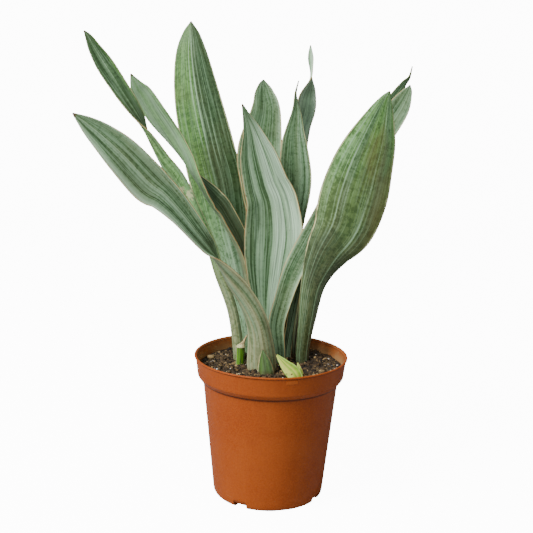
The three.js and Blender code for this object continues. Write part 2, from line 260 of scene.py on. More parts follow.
class Effects:
    """The effects that several finishes share, each a node group that is built once."""

    def __init__(self) -> None:
        """Builds every group."""
        self.blade_space = self._blade_space()
        self.streaks = self._streaks()
        self.cross_marks = self._cross_marks()
        self.grain = self._grain()

    @staticmethod
    def _start(name: str, inputs: Sequence[str], outputs: Sequence[str]) -> tuple[Wiring, Node, Node]:
        """Starts a group whose sockets are all plain numbers.

        Args:
            name: the group's name.
            inputs: the names of its inputs.
            outputs: the names of its outputs.

        Returns:
            The wiring, and the nodes that stand for the inputs and the outputs.
        """
        tree = bpy.data.node_groups.new(name, "ShaderNodeTree")
        for in_out, names in (("INPUT", inputs), ("OUTPUT", outputs)):
            for socket in names:
                tree.interface.new_socket(name=socket, in_out=in_out, socket_type="NodeSocketFloat")
        wiring = Wiring(tree)
        return wiring, wiring.add("NodeGroupInput"), wiring.add("NodeGroupOutput")

    def _blade_space(self) -> NodeTree:
        """Where a point lies on a blade, read from its UV map.

        Returns:
            The group, which gives the place across it from -1 to 1 and along it from 0 to 1, and the face.
        """
        wiring, _, out = self._start("blade_space", (), ("Across", "Along", "Upper"))
        place, along, _ = wiring.split(wiring.add("ShaderNodeUVMap", uv_map=BLADE_UV).outputs["UV"])
        upper = wiring.math("LESS_THAN", place, 0.5)
        half = wiring.product(wiring.math("SUBTRACT", 1.0, upper), 0.5)
        local = wiring.math("SUBTRACT", place, half)
        centred = wiring.math("SUBTRACT", local, Blade.UV_INSET + Blade.UV_SPAN / 2)
        across = wiring.math("DIVIDE", centred, Blade.UV_SPAN / 2)
        for name, socket in (("Across", across), ("Along", along), ("Upper", upper)):
            wiring.tree.links.new(socket, out.inputs[name])
        return wiring.tree

    def _streaks(self) -> NodeTree:
        """Lengthwise streaks, which fade in and out along the blade: a broad and a fine set."""
        sizes = (("Broad", 3.8, 90.0, 3.0, 0.0), ("Fine", 1.5, 70.0, 2.0, 0.0))
        return self._marks_in_millimetres("leaf_streaks", sizes)

    def _cross_marks(self) -> NodeTree:
        """The leaf's marbling: small blotches, and wider wavering bands across the blade."""
        sizes = (("Blotches", 4.6, 3.4, 4.0, 0.9), ("Bands", 16.0, 6.0, 3.0, 0.8))
        return self._marks_in_millimetres("cross_marks", sizes)

    def _marks_in_millimetres(
        self, name: str, marks: Sequence[tuple[str, float, float, float, float]]
    ) -> NodeTree:
        """Noises laid out on the blade, from places across and along it in millimetres.

        Args:
            name: the group's name.
            marks: for each noise its name, its marks' width and length, its detail and its twist.

        Returns:
            The group.
        """
        wiring, start, out = self._start(name, ("Wide", "High", "Seed"), [mark[0] for mark in marks])
        wide, high, seed = (start.outputs[n] for n in ("Wide", "High", "Seed"))
        for output, width, length, detail, twist in marks:
            x, y = wiring.math("DIVIDE", wide, width), wiring.math("DIVIDE", high, length)
            value = wiring.noise(wiring.vector(x, y, seed), 1.0, detail=detail, twist=twist)
            wiring.tree.links.new(value, out.inputs[output])
        return wiring.tree

    def _grain(self) -> NodeTree:
        """Cloudy variation of a plain surface, in object space.

        Returns:
            The group, which gives noises at three sizes.
        """
        wiring, start, out = self._start("surface_grain", ("Size", "Seed"), ("Clouds", "Mottle", "Fine"))
        size, seed = start.outputs["Size"], start.outputs["Seed"]
        spread = {0: wiring.place(), "Scale": wiring.math("DIVIDE", 1.0, size)}
        scaled = wiring.add("ShaderNodeVectorMath", spread, operation="SCALE").outputs[0]
        seeded = wiring.add("ShaderNodeVectorMath", {0: scaled, 1: seed}, operation="ADD").outputs[0]
        for name, scale in (("Clouds", 0.2), ("Mottle", 1.0), ("Fine", 7.0)):
            wiring.tree.links.new(wiring.noise(seeded, scale, detail=3.0), out.inputs[name])
        return wiring.tree


def new_material(name: str) -> tuple[Material, Wiring, Node]:
    """A new material.

    Args:
        name: its name.

    Returns:
        The material, its wiring, and its Principled shader.
    """
    material = bpy.data.materials.new(name)
    material.use_nodes = True
    wiring = Wiring(material.node_tree)
    return material, wiring, material.node_tree.nodes["Principled BSDF"]


@dataclass(frozen=True)
class Finish:
    """What every finish shares: a shader that takes the look which the finish itself wires up."""

    RELIEF = 0.0004  # how deep the relief is, in metres
    SHINE = 0.5  # how strong the highlights are

    def build(self, name: str, effects: Effects) -> Material:
        """Makes the material.

        Args:
            name: the material's name.
            effects: the shared groups.

        Returns:
            The material.
        """
        material, wiring, shader = new_material(name)
        colour, roughness, height = self.wire(wiring, effects)
        bump = wiring.add("ShaderNodeBump", {"Height": height, "Strength": 1.0, "Distance": self.RELIEF})
        normal = bump.outputs["Normal"]
        for source, socket in ((colour, "Base Color"), (roughness, "Roughness"), (normal, "Normal")):
            wiring.tree.links.new(source, shader.inputs[socket])
        shader.inputs["Specular IOR Level"].default_value = self.SHINE
        return material

    def wire(self, wiring: Wiring, effects: Effects) -> Look:
        """Wires up the finish; each kind has its own way."""
        raise NotImplementedError


@dataclass(frozen=True)
class ScarAndShade:
    """A healed or dried spot, a soft discoloured patch, or a soft patch of painted shade, on one face of a
    leaf.
    """

    across: float
    along: float
    half_across: float
    half_along: float
    tone: Tone
    upper: bool
    softness: float = 0.25
    strength: float = 1.0


@dataclass(frozen=True)
class Spot:
    """Where the point that is shaded lies on its leaf, and what the steps of the leaf's finish share."""

    wiring: Wiring
    effects: Effects
    across: NodeSocket
    along: NodeSocket
    upper: NodeSocket
    wide: NodeSocket  # millimetres from the midrib
    high: NodeSocket  # millimetres from the foot
    broad: NodeSocket  # the broad streaks
    fine: NodeSocket  # the fine streaks


@dataclass(frozen=True)
class Face:
    """One face of a leaf, from its margin at -1 to its margin at 1.

    The bands are soft areas of tone. A stripe is its place, its half width and its strength, which is
    below zero where the stripe is dark.
    """

    bands: tuple[Band, ...]
    stripes: tuple[Stripe, ...] = ()

    def band_stops(self) -> list[tuple[float, tuple]]:
        """The bands as a colour ramp's stops."""
        return [((at + 1) / 2, tone.marked) for at, tone in self.bands]

    def stripe_stops(self) -> list[tuple[float, tuple]]:
        """The stripes as a colour ramp's stops.

        Returns:
            The stops, which are grey between the stripes, lighter in a pale one and darker in a dark one.
        """
        stops = [(0.0, 0.5)]
        for at, half, strength in self.stripes:
            middle = (at + 1) / 2
            stops += [(middle - half / 2, 0.5), (middle, 0.5 + strength / 2), (middle + half / 2, 0.5)]
        return [(place, (level, level, level, 1.0)) for place, level in stops]


@dataclass(frozen=True)
class LeafFinish(Finish):
    """The waxy striped skin of one leaf."""

    SHINE = 0.35
    WAVER = 0.16  # how far the bands wander to either side
    TIP_SHADE = (0.72, 0.97)  # the shares of the length between which the tip's own shade sets in
    DRY_TIP = (0.985, 0.998)  # the shares between which the tip dries out
    STAIN = (24.0, 16.0)  # the heights, in millimetres, between which the stain of the mix sets in
    BREAKS = 12.0  # how far apart the breaks in the margin's lines are, in millimetres
    PATCH_SIZE = 0.012  # in metres
    # Scars and patches of painted shade share this ragged edge.
    SCAR_AND_SHADE_EDGE = 1.7  # how far out a scar's ragged edge lies, for its half sizes
    MARK_SEED = 7.0  # what sets the marbling's draw apart from the streaks'

    upper: Face
    lower: Face
    seed: float
    foot: Tone = Tone.STEM
    foot_end: float = 0.3  # the share of the length up to which the foot's tone shows
    fine_lines: float = 0.45  # this and the next five are strengths from 0 to 1
    streaks: float = 0.45
    blotches: float = 0.6
    cross_bands: float = 0.2
    patches: float = 0.15
    tip: float = 0.35
    margin: Tone = Tone.TAN
    margin_width: float = 0.03  # for the leaf's half width
    cream_edge: float = 0.9  # how strong the cream line inside the margin is
    scars_and_shade: tuple[ScarAndShade, ...] = ()
    length: float = 0.0  # in millimetres; the blade sets this and the next
    half_width: float = 0.0

    def wire(self, wiring: Wiring, effects: Effects) -> Look:
        """Wires up the skin, from the soft bands to the edges.

        Args:
            wiring: the material's wiring.
            effects: the shared groups.

        Returns:
            The colour, the roughness and the relief.
        """
        space = wiring.group(effects.blade_space)
        across, along, upper = (space.outputs[n] for n in ("Across", "Along", "Upper"))
        wide, high = wiring.product(across, self.half_width), wiring.product(along, self.length)
        streaks = wiring.group(effects.streaks, {"Wide": wide, "High": high, "Seed": self.seed})
        broad, fine = streaks.outputs["Broad"], streaks.outputs["Fine"]
        spot = Spot(wiring, effects, across, along, upper, wide, high, broad, fine)
        colour, green = self._bands(spot)
        colour = self._marks(spot, colour, green)
        colour = self._lines(spot, colour, green)
        colour = self._patches(spot, colour)
        for scar_and_shade in self.scars_and_shade:
            colour = self._scar_and_shade(spot, colour, scar_and_shade)
        colour = self._edges(spot, colour)
        relief = wiring.total(wiring.product(fine, 0.7), wiring.product(broad, 0.3))
        return colour, wiring.span(fine, 0.3, 0.7, 0.38, 0.52), relief

    def _bands(self, spot: Spot) -> tuple[NodeSocket, NodeSocket]:
        """The soft bands and the stripes of each face, which waver a little on their way up.

        Args:
            spot: the place on the leaf.

        Returns:
            The colour, and how far dark marks show there.
        """
        wiring = spot.wiring
        place = wiring.vector(wiring.product(spot.across, 1.2), spot.along, self.seed)
        waver = wiring.math("SUBTRACT", wiring.noise(place, 4.0), 0.5)
        ease = wiring.span(wiring.math("ABSOLUTE", spot.across), 1.0, 0.7)
        shifted = wiring.total(spot.across, wiring.product(waver, ease, self.WAVER))
        place = wiring.total(wiring.product(shifted, 0.5), 0.5)
        faces = (self.lower, self.upper)
        bands = [wiring.ramp(place, face.band_stops()).outputs for face in faces]
        lines = [wiring.ramp(place, face.stripe_stops()).outputs[0] for face in faces]
        colour = wiring.mix(spot.upper, *(band[0] for band in bands))
        green = wiring.between(spot.upper, *(band[1] for band in bands))
        line = wiring.between(spot.upper, *lines)
        foot = wiring.span(spot.along, self.foot_end, self.foot_end * 0.4, 0.0, 0.85)
        tip = wiring.span(spot.along, *self.TIP_SHADE, 0.0, self.tip)
        strength = wiring.span(spot.broad, 0.35, 0.55, 0.5, 1.0)
        pale = wiring.product(wiring.span(line, 0.5, 1.0), strength)
        dark = wiring.product(wiring.span(line, 0.5, 0.0), strength)
        for tone, share in ((self.foot, foot), (Tone.MOSS, tip), (Tone.MIST, pale), (Tone.DARK, dark)):
            colour = wiring.tint(colour, tone, share)
        return colour, wiring.product(green, wiring.math("SUBTRACT", 1.0, pale))

    def _lines(self, spot: Spot, colour: NodeSocket, green: NodeSocket) -> NodeSocket:
        """The fine lengthwise lines, pale and dark, and the broader streaks under them.

        Args:
            spot: the place on the leaf.
            colour: the colour so far.
            green: how far dark marks show there.

        Returns:
            The new colour.
        """
        wiring = spot.wiring
        some = wiring.span(green, 0.0, 1.0, 0.6, 1.0)
        for lines, share in ((spot.broad, self.streaks), (spot.fine, self.fine_lines)):
            pale = wiring.span(lines, 0.52, 0.62, 0.0, share * 0.75)
            dark = wiring.product(wiring.span(lines, 0.48, 0.38, 0.0, share), some)
            colour = wiring.tint(wiring.tint(colour, Tone.SILVER, pale), Tone.DEEP, dark)
        return colour

    def _marks(self, spot: Spot, colour: NodeSocket, green: NodeSocket) -> NodeSocket:
        """The dark marbling of the green parts, which gathers in the darker streaks.

        Args:
            spot: the place on the leaf.
            colour: the colour so far.
            green: how far dark marks show there.

        Returns:
            The new colour.
        """
        wiring = spot.wiring
        inputs = {"Wide": spot.wide, "High": spot.high, "Seed": self.seed + self.MARK_SEED}
        marks = wiring.group(spot.effects.cross_marks, inputs).outputs
        gathered = wiring.math("SUBTRACT", marks["Blotches"], wiring.product(spot.broad, 0.4))
        blotches = wiring.span(gathered, 0.27, 0.4, 0.0, self.blotches)
        bands = wiring.span(marks["Bands"], 0.48, 0.66, 0.0, self.cross_bands)
        for share in (blotches, bands):
            colour = wiring.mix(wiring.product(share, green), colour, Tone.MARK_SHADE.linear, "MULTIPLY")
        return colour

    def _patches(self, spot: Spot, colour: NodeSocket) -> NodeSocket:
        """Large soft patches of an older, browner green, fine dark speckles, and soil on the foot.

        Args:
            spot: the place on the leaf.
            colour: the colour so far.

        Returns:
            The new colour.
        """
        wiring = spot.wiring
        grain = wiring.group(spot.effects.grain, {"Size": self.PATCH_SIZE, "Seed": self.seed}).outputs
        clouds = wiring.span(grain["Clouds"], 0.45, 0.68, 0.0, self.patches)
        speckle = wiring.span(grain["Fine"], 0.66, 0.74, 0.0, 0.5)
        stain = wiring.product(wiring.span(spot.high, *self.STAIN), grain["Mottle"])
        for tone, share in ((Tone.OLIVE, clouds), (Tone.INK, speckle), (Tone.BARK, stain)):
            colour = wiring.tint(colour, tone, share)
        return colour

    def _edges(self, spot: Spot, colour: NodeSocket) -> NodeSocket:
        """The cream line inside each margin, the thin line on it, and the dried tip.

        Args:
            spot: the place on the leaf.
            colour: the colour so far.

        Returns:
            The new colour.
        """
        wiring = spot.wiring
        away = wiring.math("ABSOLUTE", spot.across)
        place = wiring.vector(spot.across, wiring.math("DIVIDE", spot.high, self.BREAKS), self.seed)
        broken = wiring.noise(place, 1.0)
        inside = 1.0 - 2.6 * self.margin_width
        cream = wiring.span(away, inside, inside + self.margin_width)
        cream = wiring.product(cream, wiring.span(broken, 0.35, 0.6, 0.1, 1.0), self.cream_edge)
        line = wiring.span(away, 1.0 - self.margin_width, 1.0 - 0.6 * self.margin_width)
        line = wiring.product(line, wiring.span(broken, 0.35, 0.6, 0.5, 1.0))
        dried = wiring.span(wiring.total(spot.along, wiring.product(broken, 0.01)), *self.DRY_TIP)
        for tone, share in ((Tone.CREAM, cream), (self.margin, line), (Tone.UMBER, dried)):
            colour = wiring.tint(colour, tone, share)
        return colour

    def _scar_and_shade(self, spot: Spot, colour: NodeSocket, scar_and_shade: ScarAndShade) -> NodeSocket:
        """One ragged spot on one face: a scar, a discoloured patch, or a patch of painted shade.

        Args:
            spot: the place on the leaf.
            colour: the colour so far.
            scar_and_shade: what the ragged spot is like.

        Returns:
            The new colour.
        """
        wiring = spot.wiring
        x = wiring.math("DIVIDE", wiring.math("SUBTRACT", spot.across, scar_and_shade.across), scar_and_shade.half_across)
        y = wiring.math("DIVIDE", wiring.math("SUBTRACT", spot.along, scar_and_shade.along), scar_and_shade.half_along)
        ragged = wiring.noise(wiring.vector(x, y, self.seed), 1.6, detail=3.0)
        edge = wiring.total(wiring.reach(x, y), wiring.product(ragged, 2.0))
        outer, inner = self.SCAR_AND_SHADE_EDGE + scar_and_shade.softness, self.SCAR_AND_SHADE_EDGE - scar_and_shade.softness
        inside = wiring.span(edge, outer, inner, 0.0, scar_and_shade.strength)
        face = spot.upper if scar_and_shade.upper else wiring.math("SUBTRACT", 1.0, spot.upper)
        return wiring.tint(colour, scar_and_shade.tone, wiring.product(inside, face))


@dataclass(frozen=True)
class PotFinish(Finish):
    """Satin moulded plastic with faint flow marks, scuffs, dust of the potting mix inside, and painted
    shadow lines under the rim band and the lip. Metres.
    """

    RELIEF = 0.00006
    SHINE = 0.3
    MOTTLE_SIZE = 0.02
    SPECKLES = 700.0  # how many speckles there are to a metre
    FLOW_LINES = 160.0  # how many flow marks there are to a metre
    SCUFFS = 55.0  # how many places for a scuff there are to a metre
    INNER_FACE = (0.0568, 0.0562)  # the band's radius less its slope, from within the wall to its inner face
    DUST_FROM = (0.1255, 0.1265)  # the heights between which the dust inside the band sets in
    DUST_REACH = (0.011, -0.001)  # how far over the mix its dust starts, and is thickest

    soil_height: float
    tone: Tone = Tone.POT
    # The painted shadow lines under the rim band and under the lip: each line's height, how far its painted
    # shade reaches, and how strong it is.
    painted_shadow_lines: tuple[tuple[float, float, float], ...] = ((0.1186, 0.0024, 0.8), (0.1414, 0.0007, 0.5))

    def wire(self, wiring: Wiring, effects: Effects) -> Look:
        """Wires up the plastic.

        Args:
            wiring: the material's wiring.
            effects: the shared groups.

        Returns:
            The colour, the roughness and the relief.
        """
        place = wiring.place()
        x, y, z = wiring.split(place)
        grain = wiring.group(effects.grain, {"Size": self.MOTTLE_SIZE, "Seed": 3.0})
        clouds, mottle, fine = (grain.outputs[n] for n in ("Clouds", "Mottle", "Fine"))
        flow = wiring.noise(wiring.vector(x, y, wiring.product(z, 0.06)), self.FLOW_LINES)
        speckle = wiring.noise(place, self.SPECKLES)
        colour = self.tone.linear
        for share, tone in (
            (wiring.span(clouds, 0.35, 0.65, 0.0, 0.5), Tone.POT_PALE),
            (wiring.span(flow, 0.5, 0.75, 0.0, 0.2), Tone.POT_PALE),
            (wiring.span(speckle, 0.35, 0.65, 0.0, 0.45), Tone.POT_PALE),
            (wiring.span(mottle, 0.5, 0.75, 0.0, 0.15), Tone.POT_DEEP),
        ):
            colour = wiring.tint(colour, tone, share)
        # Painted shadow: dark lines on the wall where the rim band and the lip overhang it.
        for height, reach, share in self.painted_shadow_lines:
            near = wiring.math("ABSOLUTE", wiring.math("SUBTRACT", z, height))
            colour = wiring.tint(colour, Tone.POT_SHADE, wiring.span(near, reach, 0.0, 0.0, share))
        colour = self._dust(wiring, colour, (x, y, z), mottle, fine)
        scuffs = wiring.vector(x, wiring.product(z, 6.0), y)
        scuffs = wiring.noise(scuffs, self.SCUFFS, detail=4.0, twist=2.0)
        scuffs = wiring.span(scuffs, 0.7, 0.78, 0.0, 0.12)
        roughness = wiring.total(wiring.span(mottle, 0.3, 0.7, 0.42, 0.5), wiring.product(scuffs, 0.5))
        return wiring.tint(colour, Tone.CREAM, scuffs), roughness, wiring.total(fine, scuffs)

    def _dust(
        self,
        wiring: Wiring,
        colour: NodeSocket,
        place: Sequence[NodeSocket],
        mottle: NodeSocket,
        fine: NodeSocket,
    ) -> NodeSocket:
        """Dust of the mix on the inner wall, thickest where the mix meets it.

        Args:
            wiring: the material's wiring.
            colour: the colour so far.
            place: the place's x, y and z.
            mottle: the grain that breaks the dust up.
            fine: the grain that gives its specks.

        Returns:
            The new colour.
        """
        x, y, z = place
        slope = wiring.math("SUBTRACT", wiring.reach(x, y), wiring.product(z, BAND_SLOPE))
        inner = wiring.product(wiring.span(slope, *self.INNER_FACE), wiring.span(z, *self.DUST_FROM))
        near = wiring.span(z, *(self.soil_height + over for over in self.DUST_REACH))
        ragged = wiring.product(near, wiring.span(mottle, 0.3, 0.55), 0.5)
        for dust in (wiring.total(ragged, 0.12), wiring.span(fine, 0.6, 0.7, 0.0, 0.6)):
            colour = wiring.tint(colour, Tone.CRUMB, wiring.product(dust, inner))
        return colour


@dataclass(frozen=True)
class MixFinish(Finish):
    """Damp potting mix: black to tan crumbs, each of its own tone where the mesh carries one."""

    RELIEF = 0.0005
    MOTTLE_SIZE = 0.0035
    TONES = ((0.15, Tone.PEAT_BLACK), (0.45, Tone.PEAT), (0.72, Tone.PEAT_BROWN), (0.92, Tone.CRUMB))

    by_crumb: bool

    def wire(self, wiring: Wiring, effects: Effects) -> Look:
        """Wires up the mix.

        Args:
            wiring: the material's wiring.
            effects: the shared groups.

        Returns:
            The colour, the roughness and the relief.
        """
        grain = wiring.group(effects.grain, {"Size": self.MOTTLE_SIZE, "Seed": 11.0}).outputs
        mottle, fine = grain["Mottle"], grain["Fine"]
        own = wiring.add("ShaderNodeAttribute", attribute_name=TONE_ATTRIBUTE).outputs["Fac"]
        first = own if self.by_crumb else wiring.math("SUBTRACT", mottle, 0.2)
        varied = wiring.total(first, wiring.product(wiring.math("SUBTRACT", fine, 0.5), 0.6))
        colour = wiring.ramp(varied, [(at, tone.linear) for at, tone in self.TONES]).outputs[0]
        return colour, wiring.span(fine, 0.3, 0.7, 0.75, 0.98), fine


@dataclass(frozen=True)
class GrainFinish(Finish):
    """A pale mineral or woody grain with darker pits."""

    RELIEF = 0.0003
    PIT_SIZE = 0.0012

    tone: Tone
    pit: Tone

    def wire(self, wiring: Wiring, effects: Effects) -> Look:
        """Wires up the grain.

        Args:
            wiring: the material's wiring.
            effects: the shared groups.

        Returns:
            The colour, the roughness and the relief.
        """
        grain = wiring.group(effects.grain, {"Size": self.PIT_SIZE, "Seed": 5.0}).outputs
        mottle, fine = grain["Mottle"], grain["Fine"]
        colour = wiring.tint(self.tone.linear, self.pit, wiring.span(mottle, 0.5, 0.75, 0.0, 0.7))
        return colour, wiring.span(fine, 0.3, 0.7, 0.7, 0.95), mottle


@dataclass(frozen=True)
class CutShootFinish(Finish):
    """A green stalk up to the cut, a dry ring on it, and a dry brown wisp above. Metres."""

    RAGGED_SIZE = 0.003
    RAGGED_DEPTH = 0.0015  # how far the ring's lower edge wanders
    FIBRES = 900.0  # how many fibres there are to a metre
    STRIP_EDGE = 0.0012
    RING = (-0.0004, 0.0008)  # how far over the cut the ring starts, and is full
    ROUGH = (-0.001, 0.001)  # how far over the cut it starts to be rougher, and is roughest
    WISP = (0.0015, 0.005)  # how far over the cut the wisp's brown starts, and is full

    cut_height: float
    strip_reach: float = 0.0733  # how far to the left the old pale scale starts that clings to the stalk

    def wire(self, wiring: Wiring, effects: Effects) -> Look:
        """Wires up the shoot.

        Args:
            wiring: the material's wiring.
            effects: the shared groups.

        Returns:
            The colour, the roughness and the relief.
        """
        x, y, z = wiring.split(wiring.place())
        grain = wiring.group(effects.grain, {"Size": self.RAGGED_SIZE, "Seed": 2.0}).outputs
        lines = wiring.noise(wiring.vector(x, y, wiring.product(z, 0.05)), self.FIBRES)
        darker = wiring.span(lines, 0.4, 0.65)
        side = wiring.math("SUBTRACT", y, wiring.product(x, 2.0))
        strip = wiring.span(side, self.strip_reach - self.STRIP_EDGE, self.strip_reach)
        green = wiring.tint(Tone.SHOOT.linear, Tone.MOSS, darker)
        green = wiring.tint(green, Tone.CREAM, wiring.product(strip, wiring.span(lines, 0.3, 0.5)))
        wisp = wiring.span(z, *(self.cut_height + over for over in self.WISP), 0.0, 0.7)
        brown = wiring.tint(Tone.TAN.linear, Tone.UMBER, wiring.span(lines, 0.4, 0.6))
        dry = wiring.mix(wisp, wiring.tint(Tone.CREAM.linear, Tone.TAN, darker), brown)
        edge = wiring.total(z, wiring.product(grain["Mottle"], self.RAGGED_DEPTH))
        ring = wiring.span(edge, *(self.cut_height + over for over in self.RING))
        roughness = wiring.span(edge, *(self.cut_height + over for over in self.ROUGH), 0.4, 0.8)
        return wiring.mix(ring, green, dry), roughness, lines


# ---- Shapes ----


def set_down(name: str, shape: BMesh) -> Object:
    """Makes an object of a shape and puts it in the scene.

    Args:
        name: the object's name.
        shape: its bmesh, which is freed.

    Returns:
        The object.
    """
    mesh = bpy.data.meshes.new(name)
    shape.to_mesh(mesh)
    shape.free()
    thing = bpy.data.objects.new(name, mesh)
    bpy.context.scene.collection.objects.link(thing)
    return thing


def settle(name: str, shape: BMesh, material: Material, node: str | None = None) -> Object:
    """Makes a finished shape a piece of the plant.

    Args:
        name: the piece's name.
        shape: its bmesh, which is freed.
        material: its finish.
        node: the CAD node that it stands for, if there is one.

    Returns:
        The piece.
    """
    piece = set_down(name, shape)
    piece.data.materials.append(material)
    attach(piece, BODY)
    if node:
        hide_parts(node)
    LOG.info("%s: %d faces", name, len(piece.data.polygons))
    return piece


def smooth(shape: BMesh) -> None:
    """Turns every face of a shape outwards and shades it smooth.

    Args:
        shape: the shape.
    """
    bmesh.ops.recalc_face_normals(shape, faces=shape.faces)
    for face in shape.faces:
        face.smooth = True


def lathe(line: Sequence[Sequence[float]], steps: int) -> BMesh:
    """Spins a section right round the upright axis.

    Args:
        line: the radii and heights of the section's points, in millimetres.
        steps: how many steps the turn has.

    Returns:
        The shape.
    """
    shape = bmesh.new()
    verts = [shape.verts.new((radius * MM, 0.0, height * MM)) for radius, height in line]
    edges = [shape.edges.new(pair) for pair in zip(verts, verts[1:])]
    bmesh.ops.spin(
        shape,
        geom=[*verts, *edges],
        cent=(0.0, 0.0, 0.0),
        axis=(0.0, 0.0, 1.0),
        angle=2 * math.pi,
        steps=steps,
        use_merge=True,
    )
    bmesh.ops.remove_doubles(shape, verts=shape.verts, dist=1e-6)
    return shape


def curve_through(points: Sequence[Vector], share: float) -> Vector:
    """A smooth curve through points.

    Args:
        points: what it passes through.
        share: how far along it, from 0 to 1, with equal steps from point to point.

    Returns:
        The point there.
    """
    spans = len(points) - 1
    place = min(max(share, 0.0), 1.0) * spans
    first = min(int(place), spans - 1)
    t = place - first
    here, after = points[first], points[first + 1]
    before = points[first - 1] if first else here * 2 - after
    beyond = points[first + 2] if first + 2 <= spans else after * 2 - here
    leaving, arriving = (after - before) / 2, (beyond - here) / 2
    bend = (after - here) * 3 - leaving * 2 - arriving
    return here + leaving * t + bend * t**2 + ((here - after) * 2 + leaving + arriving) * t**3


@dataclass(frozen=True)
class Section:
    """One cross-section of a blade, in millimetres."""

    middle: Vector
    side: Vector
    up: Vector
    half_width: float
    roll: float


@dataclass(frozen=True)
class Blade:
    """A sword-shaped leaf or scale: a sheet wrapped round its midrib into a thick blade. Millimetres."""

    UV_INSET = 0.005  # how far a face's half of the UV map starts from the map's edge
    UV_SPAN = 0.49  # how much of the map's width a face takes up
    FOOT_THICKNESS = 4.4
    TIP_THICKNESS = 1.6
    MARGIN_THICKNESS = 0.9
    SLIMMING = 0.35  # how much thicker than its margin a narrow blade is, for its half width
    LEAST_WIDTH = 0.3
    LEAST_ROLL = 0.02  # in radians
    WAVE_LAG = 1.9  # how far one margin's ripple lags behind the other's, in radians
    DENT = 0.3  # how deep the blade's uneven dents are
    STEP = 0.002  # the share of the length over which the midrib's direction is read
    SEAM = 1e-7  # the metres within which the sheet's two edges are joined

    node: str
    stations: tuple[Station, ...]
    finish: LeafFinish
    slot: str = "leaf_skin"
    wave: tuple[float, float] = (0.0, 1.0)  # the height of the margins' ripple, and how many waves it has
    rows: int = 150
    columns: int = 26
    alone: bool = False  # whether it stands for no CAD node

    @property
    def length(self) -> float:
        """The midrib's length, in millimetres."""
        points = [Vector(station[:3]) for station in self.stations]
        return sum((after - here).length for here, after in zip(points, points[1:]))

    def section(self, share: float) -> Section:
        """The blade's cross-section.

        Args:
            share: how far up from its foot it is.

        Returns:
            The section there.
        """
        line = [Vector(s[:3]) for s in self.stations]
        form = [Vector(s[3:]) for s in self.stations]
        ahead, behind = (curve_through(line, share + step) for step in (self.STEP, -self.STEP))
        tangent = (ahead - behind).normalized()
        half_width, facing, cup = curve_through(form, share)
        turn = math.radians(facing)
        compass = Vector((math.cos(turn), math.sin(turn), 0.0))
        up = (compass - tangent * compass.dot(tangent)).normalized()
        middle = curve_through(line, share) + Vector((0.0, 0.0, STEM_DATUM))
        roll = max(math.radians(cup), self.LEAST_ROLL)
        return Section(middle, tangent.cross(up), up, max(half_width, self.LEAST_WIDTH), roll)

    def place(self, section: Section, share: float, around: float) -> Vector:
        """A point of the blade's skin.

        Args:
            section: the cross-section there.
            share: how far up the blade it is.
            around: how far round the section, from one margin over the upper face and back under it.

        Returns:
            The point, in metres.
        """
        u = -math.cos(2 * math.pi * around)
        face = 1.0 if around < 0.5 else -1.0
        width = section.half_width
        radius = width / section.roll
        angle = u * section.roll
        normal = section.up * math.cos(angle) - section.side * math.sin(angle)
        across = section.side * (radius * math.sin(angle)) + section.up * (radius * (1 - math.cos(angle)))
        height, count = self.wave
        phase = 2 * math.pi * count * share + (self.WAVE_LAG if u > 0 else 0.0)
        ripple = height * u * u * math.sin(math.pi * share) * math.sin(phase)
        dent = self.DENT * noise.noise(Vector((u * 2.0, share * 11.0, self.finish.seed)))
        dent *= math.sin(math.pi * share)
        middle_thickness = min(
            self.FOOT_THICKNESS + (self.TIP_THICKNESS - self.FOOT_THICKNESS) * share,
            self.MARGIN_THICKNESS + self.SLIMMING * width,
        )
        half = (self.MARGIN_THICKNESS + (middle_thickness - self.MARGIN_THICKNESS) * (1 - u * u)) / 2
        half = min(half, width)
        rim = min(half / width, 0.5)
        inward = max(0.0, (abs(u) - (1 - rim)) / rim)
        half *= math.sqrt(max(0.0, 1 - inward * inward))
        return (section.middle + across + normal * (ripple + dent + face * half)) * MM

    def build(self, effects: Effects) -> Object:
        """Makes the blade's mesh and dresses it.

        Args:
            effects: the shared node groups.

        Returns:
            The piece.
        """
        shape = bmesh.new()
        around_layer = shape.verts.layers.float.new("around")
        share_layer = shape.verts.layers.float.new("share")
        uv_layer = shape.loops.layers.uv.new(BLADE_UV)
        bmesh.ops.create_grid(shape, x_segments=2 * self.columns, y_segments=self.rows, size=1.0)
        sections: dict[int, Section] = {}
        for vert in shape.verts:
            around, share = (vert.co.x + 1) / 2, (vert.co.y + 1) / 2
            vert[around_layer], vert[share_layer] = around, share
            row = round(share * self.rows)
            if row not in sections:
                sections[row] = self.section(share)
            vert.co = self.place(sections[row], share, around)
        for face in shape.faces:
            middle = sum(loop.vert[around_layer] for loop in face.loops) / len(face.loops)
            for loop in face.loops:
                u = -math.cos(2 * math.pi * loop.vert[around_layer])
                start = self.UV_INSET + (0.0 if middle < 0.5 else 0.5)
                loop[uv_layer].uv = (start + self.UV_SPAN * (u + 1) / 2, loop.vert[share_layer])
        bmesh.ops.remove_doubles(shape, verts=shape.verts, dist=self.SEAM)
        open_edges = [edge for edge in shape.edges if edge.is_boundary]
        caps = bmesh.ops.holes_fill(shape, edges=open_edges, sides=0)["faces"]
        bmesh.ops.triangulate(shape, faces=caps)
        for name in ("around", "share"):
            shape.verts.layers.float.remove(shape.verts.layers.float[name])
        smooth(shape)
        width = max(station[3] for station in self.stations)
        finish = replace(self.finish, length=self.length, half_width=width)
        material = finish.build(f"{self.node}_skin", effects)
        return settle(f"{self.node}_blade", shape, material, None if self.alone else self.node)


